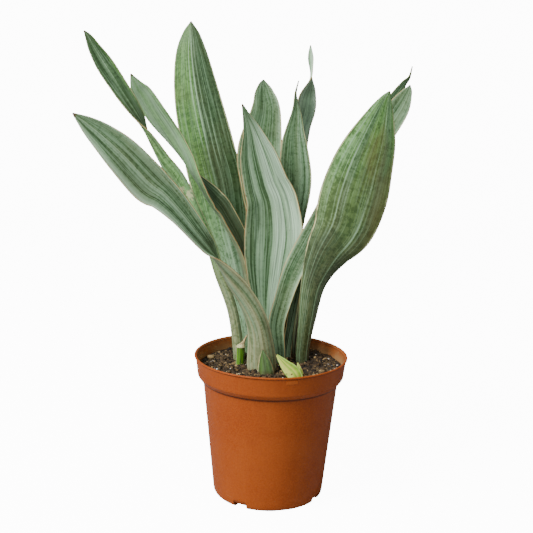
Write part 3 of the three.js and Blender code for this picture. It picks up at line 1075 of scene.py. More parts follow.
@dataclass(frozen=True)
class CutShoot:
    """A round shoot that was cut off short, with the dry wisp of its old tip. Millimetres."""

    CUT_RING = 3  # which of the rings lies at the cut
    RIBS = ((0.035, 7, 0), (0.05, 3, 6))  # for each set of lengthwise ribs its height, number and twist
    GREATEST_RIB = 1.04

    sides: int = 28
    steps: int = 8
    # The place and the radius of each ring.
    rings: tuple[tuple[float, float, float, float], ...] = (
        (-31, 5, -15, 4),
        (-31, 5, -1, 4.3),
        (-30.5, 5, 18.5, 4.2),
        (-30.5, 5, 20.5, 4.8),
        (-30, 5, 22, 3.8),
        (-28, 5, 25, 1.9),
        (-26, 5, 29, 1.2),
        (-24, 5, 33, 0.5),
    )

    def build(self, effects: Effects) -> Object:
        """Makes the shoot by extruding a circle from ring to ring.

        Args:
            effects: the shared node groups.

        Returns:
            The piece.
        """
        shape = bmesh.new()
        line = [Vector(ring[:3]) for ring in self.rings]
        radii = [Vector((ring[3], 0.0, 0.0)) for ring in self.rings]
        count = self.steps * (len(self.rings) - 1)
        start = Matrix.Translation(self._middle(line, 0.0))
        bmesh.ops.create_circle(shape, cap_ends=True, segments=self.sides, radius=1.0, matrix=start)
        edges = list(shape.edges)
        verts = list(shape.verts)
        self._form(verts, line, radii, 0.0)
        for step in range(1, count + 1):
            grown = bmesh.ops.extrude_edge_only(shape, edges=edges)["geom"]
            verts = [item for item in grown if isinstance(item, BMVert)]
            edges = [item for item in grown if isinstance(item, bmesh.types.BMEdge)]
            self._form(verts, line, radii, step / count)
        bmesh.ops.holes_fill(shape, edges=edges, sides=0)
        smooth(shape)
        cut_height = (self.rings[self.CUT_RING][2] + STEM_DATUM) * MM
        material = CutShootFinish(cut_height).build("cut_shoot_skin", effects)
        return settle("cut_shoot_stalk", shape, material, "cut_shoot")

    @staticmethod
    def _middle(line: list[Vector], share: float) -> Vector:
        """The middle of the shoot, in metres, at a share of its height."""
        return (curve_through(line, share) + Vector((0.0, 0.0, STEM_DATUM))) * MM

    def _form(self, verts: list[BMVert], line: list[Vector], radii: list[Vector], share: float) -> None:
        """Sets one ring of the shoot, with shallow lengthwise ribs.

        Args:
            verts: the ring's points, whose directions from their middle are kept.
            line: the rings' middles.
            radii: the rings' radii, as the x of vectors.
            share: how far up the shoot the ring is.
        """
        middle = self._middle(line, share)
        old = sum((vert.co for vert in verts), Vector()) / len(verts)
        radius = curve_through(radii, share).x * MM
        for vert in verts:
            away = vert.co - old
            turn = math.atan2(away.y, away.x)
            rib = 1 + sum(high * math.sin(count * turn + twist * share) for high, count, twist in self.RIBS)
            reach = radius * min(rib, self.GREATEST_RIB)
            vert.co = middle + Vector((math.cos(turn), math.sin(turn), 0.0)) * reach


@dataclass(frozen=True)
class NurseryPot:
    """The moulded pot: a spun wall with a rounded lip, rim band, body and slotted foot. Millimetres."""

    OUTER_ROUNDS = (0.5, 0.4, 0.9)  # at the body's top, the shoulder and the band's foot
    LIP_ROUNDS = (0.35, 0.3, 0.5, 0.5, 0.3)  # from the lip's outside over it to its inside
    INNER_ROUNDS = (0.8, 0.4, 0.5)  # at the band's foot, the shoulder and the body's top
    FLOOR_ROUND = 3.0

    height: float = 143.5
    rim_radius: float = 76.0
    band_low: tuple[float, float] = (72.6, 124.0)
    shoulder: tuple[float, float] = (69.3, 119.5)
    body_top_radius: float = 67.1
    under_step: float = 0.6
    base_radius: float = 55.0
    corner_radius: float = 5.0
    lip_flare: float = 1.2
    lip_round: float = 0.5
    wall: float = 1.6
    floor: float = 2.2
    turns: int = 192
    hoops: tuple[float, ...] = (0.08, 0.1, 0.12, 0.3, 0.6, 0.9)  # rings up the body, for even shading
    # How many there are, the first one's place in degrees, their width, height and distance from the axis.
    drains: tuple[int, float, float, float, float] = (4, -119.0, 14.0, 5.6, 46.0)
    notches: tuple[int, float, float, float, float] = (4, -74.0, 13.0, 1.3, 50.0)
    # Where the pad starts and ends in degrees, its lower and upper edge, and how far it stands out.
    pad: tuple[float, float, float, float, float] = (-78.3, -69.8, 136.6, 140.1, 0.35)
    pad_steps: int = 6

    def outline(self, inset: float) -> list[tuple[float, float]]:
        """The wall's line from the foot to the lip, before its corners are rounded.

        Args:
            inset: how far the line is moved in.

        Returns:
            The line's corners.
        """
        lift = inset / 2
        low, high = self.base_radius, self.body_top_radius
        body_top = self.shoulder[1] - self.under_step
        hoops = [(low + (high - low) * share - inset, body_top * share) for share in self.hoops]
        return [
            (self.base_radius - inset, inset),
            *hoops,
            (self.body_top_radius - inset, body_top + lift),
            (self.shoulder[0] - inset, self.shoulder[1] + lift),
            (self.band_low[0] - inset, self.band_low[1] + lift),
            (self.rim_radius - self.lip_flare - inset, self.height - self.lip_flare - self.lip_round),
        ]

    @staticmethod
    def rounded(points: list[tuple[float, float]], cuts: list[float], steps: int = 5) -> list[Vector]:
        """Rounds the corners of a line.

        Args:
            points: the line's corners.
            cuts: how far before and after each corner its round starts.
            steps: how many points each round has.

        Returns:
            The line with its rounds.
        """
        corners = [Vector(point) for point in points]
        line = []
        for i, corner in enumerate(corners):
            if cuts[i] == 0:
                line.append(corner)
                continue
            start = corner + (corners[i - 1] - corner).normalized() * cuts[i]
            end = corner + (corners[i + 1] - corner).normalized() * cuts[i]
            for step in range(steps + 1):
                t = step / steps
                line.append(start * (1 - t) ** 2 + corner * (2 * t * (1 - t)) + end * t**2)
        return line

    def profile(self) -> list[Vector]:
        """The whole wall's section.

        Returns:
            Its points from the axis under the floor, up, over the lip and back to the axis.
        """
        lip = [
            (self.rim_radius, self.height - self.lip_flare),
            (self.rim_radius, self.height),
            (self.rim_radius - self.wall - self.lip_round, self.height),
        ]
        outer, inner = self.outline(0.0), self.outline(self.wall)
        inner[0] = (self.base_radius - self.wall, self.floor)
        points = [(0.0, 0.0), *outer, *lip, *reversed(inner), (0.0, self.floor)]
        plain = [0.0] * len(self.hoops)
        rounds = (*self.OUTER_ROUNDS, *self.LIP_ROUNDS, *self.INNER_ROUNDS)
        cuts = [0.0, self.corner_radius, *plain, *rounds, *plain, self.FLOOR_ROUND, 0.0]
        return self.rounded(points, cuts)

    def build(self, effects: Effects, soil_height: float) -> list[Object]:
        """Spins the pot, cuts its slots and sets the pad on it.

        Args:
            effects: the shared node groups.
            soil_height: where the potting mix meets the wall, in metres.

        Returns:
            The pieces.
        """
        shape = lathe(self.profile(), self.turns)
        smooth(shape)
        material = PotFinish(soil_height).build("pot_plastic", effects)
        pot = settle("pot_wall", shape, material, "pot")
        for name, slots in (("drain", self.drains), ("notch", self.notches)):
            self._cut(pot, self._cutters(name, *slots))
        return [pot, self._pad(PotFinish(soil_height, Tone.POT_PALE).build("pot_pad", effects))]

    def _pad(self, material: Material) -> Object:
        """The small plain rectangle that stands out of the rim band.

        Args:
            material: its finish.

        Returns:
            The piece.
        """
        first, last, low, high, rise = self.pad
        shape = bmesh.new()
        turn = Matrix.Rotation(math.radians(first), 3, "Z")
        sunk = -self.wall / 4
        band = self.band_low[0] - self.band_low[1] * BAND_SLOPE
        verts = []
        for z, out in ((low, sunk), (low, rise), (high, rise), (high, sunk)):
            verts.append(shape.verts.new(turn @ Vector((band + z * BAND_SLOPE + out, 0.0, z)) * MM))
        edges = [shape.edges.new(pair) for pair in zip(verts, [*verts[1:], verts[0]])]
        bmesh.ops.spin(
            shape,
            geom=[*verts, *edges],
            cent=(0.0, 0.0, 0.0),
            axis=(0.0, 0.0, 1.0),
            angle=math.radians(last - first),
            steps=self.pad_steps,
        )
        bmesh.ops.holes_fill(shape, edges=[edge for edge in shape.edges if edge.is_boundary], sides=0)
        bmesh.ops.recalc_face_normals(shape, faces=shape.faces)
        sharp = [edge for edge in shape.edges if edge.calc_face_angle(0.0) > 0.5]
        bmesh.ops.bevel(
            shape, geom=sharp, offset=rise * MM / 3, affect="EDGES", segments=2, profile=0.5, material=-1
        )
        return settle("band_pad", shape, material)

    def _cutters(
        self, name: str, count: int, first: float, width: float, height: float, inner: float
    ) -> Object:
        """One mesh of slot-shaped blocks round the foot.

        Args:
            name: what the slots are.
            count: how many there are.
            first: where the first one is, in degrees.
            width: how wide each is.
            height: how high each is.
            inner: how far from the axis each starts.

        Returns:
            The cutting object, which isn't a piece.
        """
        reach = self.base_radius + 10 - inner
        shape = bmesh.new()
        for i in range(count):
            turn = Matrix.Rotation(math.radians(first + 360 / count * i), 4, "Z")
            place = Matrix.Translation(Vector((inner + reach / 2, 0.0, 0.0)) * MM)
            size = Matrix.Diagonal((reach * MM, width * MM, 2 * height * MM, 1.0))
            bmesh.ops.create_cube(shape, size=1.0, matrix=turn @ place @ size)
        return set_down(name, shape)

    @staticmethod
    def _cut(pot: Object, cutter: Object) -> None:
        """Cuts blocks out of the pot and removes them.

        Args:
            pot: the pot.
            cutter: the blocks.
        """
        modifier = pot.modifiers.new("slots", "BOOLEAN")
        modifier.object = cutter
        modifier.operation = "DIFFERENCE"
        modifier.solver = "EXACT"
        seen = pot.evaluated_get(bpy.context.evaluated_depsgraph_get())
        mesh = bpy.data.meshes.new_from_object(seen)
        pot.modifiers.clear()
        pot.data = mesh
        bpy.data.objects.remove(cutter)


@dataclass(frozen=True)
class PottingMix:
    """The potting mix: a solid filling with a broken surface, and what lies on it. Millimetres."""

    CLODS = 1.5  # how high the surface's clods are
    PITS = 0.8  # how deep its pits are
    SUNK = 0.6  # how far the broken surface lies under the part's
    STEEPNESS = 2.2  # how much rarer large lumps are than small ones
    BATCH = 600  # how many points of lumps are made before they are poured into the whole

    # The filling's radius and height, from its foot to where it meets the band.
    outline: tuple[tuple[float, float], ...] = (
        (0.0, 2.55),
        (50.0, 2.55),
        (53.05, 5.0),
        (65.15, 119.88),
        (67.35, 120.48),
        (70.65, 124.98),
    )
    radius: float = 71.05
    level: float = 129.5
    bump: float = 1.6
    bank: float = 3.0
    rings: int = 74
    turns: int = 210
    crumbs: int = 3600
    grains: int = 90
    fibres: int = 170
    pebble: tuple[float, float, float] = (-61.5, 25.0, 3.0)  # its place and its radius
    seed: int = 41

    def height(self, x: float, y: float) -> float:
        """The height of the surface by the part's own waves.

        Args:
            x: the place from left to right.
            y: the place from front to back.

        Returns:
            The height there.
        """
        out = (x * x + y * y) / self.radius**2
        bank = self.bank * out * (0.75 + 0.25 * x / self.radius)
        coarse = math.sin(x * 0.21 + 1.3) * math.cos(y * 0.17 - 0.4)
        fine = 0.6 * math.sin(x * 0.43 - y * 0.36) * math.cos(y * 0.5 + x * 0.12)
        return self.level + bank + self.bump * (coarse + fine)

    def broken(self, x: float, y: float) -> float:
        """The height with the clods and pits of the real surface.

        Args:
            x: the place from left to right.
            y: the place from front to back.

        Returns:
            The height there.
        """
        place = Vector((x, y, 0.0))
        clods = noise.fractal(place * 0.22, 0.9, 2.1, 4)
        pits = noise.noise(place * 0.75 + Vector((9.0, 2.0, 4.0)))
        return self.height(x, y) + self.CLODS * clods + self.PITS * pits - self.SUNK

    def build(self, effects: Effects) -> list[Object]:
        """Makes the mix and everything that lies on it.

        Args:
            effects: the shared node groups.

        Returns:
            The pieces.
        """
        random = Random(self.seed)
        ground = MixFinish(by_crumb=False).build("mix_ground", effects)
        crumb = MixFinish(by_crumb=True).build("mix_crumb", effects)
        perlite = GrainFinish(Tone.PERLITE, Tone.CRUMB).build("perlite", effects)
        fibre = GrainFinish(Tone.CRUMB, Tone.UMBER).build("bark_fibre", effects)
        return [
            self._filling(ground),
            self._scatter("soil_crumbs", crumb, random, self.crumbs, (0.6, 2.7), 1, (1.0, 1.0, 0.75)),
            self._scatter("perlite_grains", perlite, random, self.grains, (0.5, 1.5), 2, (1.0, 0.9, 0.8)),
            self._scatter("bark_fibres", fibre, random, self.fibres, (0.35, 0.6), 1, (7.0, 1.0, 0.8)),
            self._stone(GrainFinish(Tone.CRUMB, Tone.UMBER).build("pebble", effects)),
        ]

    def _filling(self, material: Material) -> Object:
        """The filling: a spun section whose upper surface is then broken up.

        Args:
            material: its finish.

        Returns:
            The piece.
        """
        top = self.radius
        line = [*self.outline, (top, self.level + self.bank - 1.0)]
        line += [(top * (1 - i / self.rings), self.level) for i in range(1, self.rings + 1)]
        shape = lathe(line, self.turns)
        surface = (self.level - 0.5) * MM
        for vert in shape.verts:
            inside = math.hypot(vert.co.x, vert.co.y) / MM < top - 0.3
            if vert.co.z > surface and inside:
                vert.co.z = self.broken(vert.co.x / MM, vert.co.y / MM) * MM
        smooth(shape)
        return settle("soil_filling", shape, material, "soil")

    def _stone(self, material: Material) -> Object:
        """The one pale pebble, at the left by the wall.

        Args:
            material: its finish.

        Returns:
            The piece.
        """
        x, y, radius = self.pebble
        shape = bmesh.new()
        centre = Vector((x, y, self.broken(x, y) + 0.4 * radius)) * MM
        size = Matrix.Diagonal([radius * MM * side for side in (1.25, 0.9, 0.8)])
        place = Matrix.Translation(centre) @ (Euler((0.2, 0.3, 0.5)).to_matrix() @ size).to_4x4()
        bmesh.ops.create_icosphere(shape, subdivisions=3, radius=1.0, matrix=place)
        for vert in shape.verts:
            vert.co += (vert.co - centre) * 0.25 * noise.noise(vert.co / (radius * MM))
        smooth(shape)
        return settle("pale_pebble", shape, material)

    def _scatter(
        self,
        name: str,
        material: Material,
        random: Random,
        count: int,
        sizes: tuple[float, float],
        detail: int,
        form: tuple[float, float, float],
    ) -> Object:
        """Strews rough lumps over the surface.

        Args:
            name: the piece's name.
            material: its finish.
            random: the seeded draw.
            count: how many lumps there are.
            sizes: the least and the greatest radius, in millimetres.
            detail: how finely each lump is divided.
            form: how long, wide and high a lump is for its radius.

        Returns:
            The piece.
        """
        whole, shape = bmesh.new(), bmesh.new()
        tones = shape.verts.layers.float.new(TONE_ATTRIBUTE)
        for index in range(count):
            reach = (self.radius - 1.6 - sizes[0]) * math.sqrt(random.random())
            turn = random.uniform(0, 2 * math.pi)
            x, y = reach * math.cos(turn), reach * math.sin(turn)
            size = sizes[0] + (sizes[1] - sizes[0]) * random.random() ** self.STEEPNESS
            tilt = Euler((random.gauss(0, 0.4), random.gauss(0, 0.4), random.uniform(0, 6.28))).to_matrix()
            centre = Vector((x, y, self.broken(x, y) + size * random.uniform(-0.1, 0.45)))
            scale = Matrix.Diagonal([size * MM * side for side in form])
            place = Matrix.Translation(centre * MM) @ (tilt @ scale).to_4x4()
            lump = bmesh.ops.create_icosphere(shape, subdivisions=detail, radius=1.0, matrix=place)
            tone = min(max(random.gauss(0.46, 0.22), 0.05), 0.95)
            for vert in lump["verts"]:
                vert.co = place.translation.lerp(vert.co, random.uniform(0.62, 1.15))
                vert[tones] = tone
            if len(shape.verts) > self.BATCH or index == count - 1:
                self._pour(shape, whole)
        shape.free()
        return settle(name, whole, material)

    @staticmethod
    def _pour(batch: BMesh, whole: BMesh) -> None:
        """Moves a batch of lumps into the whole, which keeps each lump's making quick.

        Args:
            batch: the shape that holds the lumps, which is emptied.
            whole: the shape that takes them.
        """
        mesh = bpy.data.meshes.new("batch")
        batch.to_mesh(mesh)
        whole.from_mesh(mesh)
        bpy.data.meshes.remove(mesh)
        bmesh.ops.delete(batch, geom=batch.verts[:], context="VERTS")


# ---- The studio ----


@dataclass(frozen=True)
class Studio:
    """A pale sweep, a white sky, a soft light and the camera. Metres and degrees."""

    camera_place: tuple[float, float, float] = (0.0, -0.9432, 0.4337)
    pitch: float = 12.043
    yaw: float = -0.4
    roll: float = -1.391
    lens: float = 66.74
    light_place: tuple[float, float, float] = (-1.29, -1.08, 1.65)
    light_side: float = 1.1
    light_power: float = 76.0  # in watts
    aim: tuple[float, float, float] = (0.0, 0.0, 0.24)  # what the light looks at
    sky_light: float = 0.4
    paper_bounce: float = 0.35  # how pale the paper is to everything but the camera
    paper_glow: float = 12.0
    sweep_front: float = -3.0
    sweep_back: float = 1.6  # where the floor starts to curve up
    sweep_bend: float = 1.0
    sweep_height: float = 4.0
    sweep_half_width: float = 4.0
    sweep_steps: int = 16

    def build(self) -> None:
        """Sets up the sweep, the light and the camera."""
        self._sweep()
        self._world()
        self._light()
        self._camera()

    def _sweep(self) -> None:
        """A floor that curves up into a backdrop."""
        shape = bmesh.new()
        back, bend = self.sweep_back, self.sweep_bend
        curve = [(self.sweep_front, 0.0), (back, 0.0)]
        for step in range(1, self.sweep_steps + 1):
            turn = math.pi / 2 * step / self.sweep_steps
            curve.append((back + bend * math.sin(turn), bend * (1 - math.cos(turn))))
        curve.append((back + bend, self.sweep_height))
        verts = [shape.verts.new((-self.sweep_half_width, y, z)) for y, z in curve]
        edges = [shape.edges.new(pair) for pair in zip(verts, verts[1:])]
        grown = bmesh.ops.extrude_edge_only(shape, edges=edges)["geom"]
        moved = [item for item in grown if isinstance(item, BMVert)]
        bmesh.ops.translate(shape, verts=moved, vec=(2 * self.sweep_half_width, 0.0, 0.0))
        smooth(shape)
        sweep = set_down("sweep", shape)
        material, wiring, shader = new_material("sweep_paper")
        seen = wiring.add("ShaderNodeLightPath").outputs["Is Camera Ray"]
        cloud = wiring.span(wiring.noise(wiring.place(), 3.0), 0.3, 0.7, 0.97, 1.0)
        shade = wiring.product(cloud, wiring.span(seen, 0.0, 1.0, self.paper_bounce, 0.9))
        colour = wiring.add("ShaderNodeCombineColor", {0: shade, 1: shade, 2: shade}).outputs[0]
        wiring.tree.links.new(colour, shader.inputs["Base Color"])
        wiring.tree.links.new(seen, shader.inputs["Emission Color"])
        shader.inputs["Emission Strength"].default_value = self.paper_glow
        shader.inputs["Roughness"].default_value = 0.9
        sweep.data.materials.append(material)

    def _world(self) -> None:
        """A white sky that lights everything softly."""
        world = bpy.data.worlds.new("studio")
        world.use_nodes = True
        background = world.node_tree.nodes["Background"]
        background.inputs["Color"].default_value = (1.0, 1.0, 1.0, 1.0)
        wiring = Wiring(world.node_tree)
        seen = wiring.add("ShaderNodeLightPath").outputs["Is Camera Ray"]
        strength = wiring.span(seen, 0.0, 1.0, self.sky_light, self.paper_glow)
        world.node_tree.links.new(strength, background.inputs["Strength"])
        bpy.context.scene.world = world

    def _light(self) -> None:
        """A square soft light that looks at the plant."""
        data = bpy.data.lights.new("key", "AREA")
        data.size = self.light_side
        data.energy = self.light_power
        light = bpy.data.objects.new("key", data)
        light.location = self.light_place
        ahead = Vector(self.aim) - Vector(self.light_place)
        light.rotation_euler = ahead.to_track_quat("-Z", "Y").to_euler()
        bpy.context.scene.collection.objects.link(light)

    def _camera(self) -> None:
        """The camera at the photograph's viewpoint."""
        yaw, pitch, roll = (math.radians(angle) for angle in (self.yaw, self.pitch, self.roll))
        across = Vector((math.cos(yaw), -math.sin(yaw), 0.0))
        level = Vector((math.sin(yaw), math.cos(yaw), 0.0))
        ahead = level * math.cos(pitch) - Vector((0.0, 0.0, math.sin(pitch)))
        over = level * math.sin(pitch) + Vector((0.0, 0.0, math.cos(pitch)))
        right = across * math.cos(roll) - over * math.sin(roll)
        up = across * math.sin(roll) + over * math.cos(roll)
        data = bpy.data.cameras.new("camera")
        data.lens = self.lens
        camera = bpy.data.objects.new("camera", data)
        camera.matrix_world = Matrix.LocRotScale(
            Vector(self.camera_place), Matrix((right, up, -ahead)).transposed(), None
        )
        bpy.context.scene.collection.objects.link(camera)
        bpy.context.scene.camera = camera


# ---- The plant ----


T = Tone

DARK_STRIPED = Face(
    ((-1, T.CREAM), (-0.9, T.SAGE), (-0.75, T.GREEN), (-0.4, T.DEEP), (0, T.GREEN), (0.4, T.DEEP),
     (0.75, T.GREEN), (0.9, T.SAGE), (1, T.CREAM)),
    ((-0.62, 0.03, 0.5), (-0.28, 0.05, 0.7), (0.1, 0.04, 0.7), (0.34, 0.02, 0.4), (0.58, 0.04, 0.6)),
)
PALE_BACK = Face(
    ((-1, T.CREAM), (-0.9, T.LEAF), (-0.5, T.PALE), (0, T.LEAF), (0.5, T.PALE),
     (0.86, T.GREEN), (1, T.CREAM)),
    ((-0.2, 0.03, 0.5), (0.0, 0.02, 0.5), (0.12, 0.03, 0.6), (0.28, 0.02, 0.5), (0.6, 0.02, 0.3)),
)
# Partly the leaf's own silver and partly painted light: the pale bands lighten the blade where it turns away
# from the light.
SILVER_AND_PAINTED_LIGHT_FACE = Face(
    ((-1, T.CREAM), (-0.85, T.WHITE), (-0.3, T.MIST), (0.1, T.SILVER), (0.4, T.MIST),
     (0.8, T.WHITE), (1, T.CREAM)),
    ((-0.45, 0.04, -0.3), (-0.1, 0.04, -0.4), (0.15, 0.04, 0.4), (0.55, 0.04, -0.4)),
)
# A dry olive and brown sheath face whose near-black middle is painted shade, the deep shade between the
# leaves' bases.
DRY_FACE_WITH_PAINTED_SHADE = Face(
    ((-1, T.OLIVE), (-0.75, T.OLIVE), (-0.5, T.BARK), (0.3, T.PEAT_BLACK), (0.8, T.BARK), (1, T.BARK)),
)
LIME_FACE = Face(
    ((-1, T.LIME), (-0.3, T.LIME), (0.05, T.LIME_SHADE), (0.3, T.LIME), (0.6, T.LIME_SHADE),
     (0.9, T.LIME_SHADE), (1, T.LIME)),
    ((-0.5, 0.04, 0.3), (-0.1, 0.03, -0.1), (0.2, 0.03, 0.3), (0.45, 0.03, -0.12), (0.7, 0.03, 0.25)),
)


@dataclass(frozen=True)
class SnakePlant:
    """The whole plant in its pot."""

    blades: tuple[Blade, ...]
    shoot: CutShoot = field(default_factory=CutShoot)
    pot: NurseryPot = field(default_factory=NurseryPot)
    mix: PottingMix = field(default_factory=PottingMix)

    def build(self) -> None:
        """Makes every piece in order."""
        effects = Effects()
        pieces = self.pot.build(effects, (self.mix.level + self.mix.bank) * MM)
        pieces += self.mix.build(effects)
        pieces += [blade.build(effects) for blade in self.blades]
        pieces.append(self.shoot.build(effects))
        LOG.info("%d pieces", len(pieces))


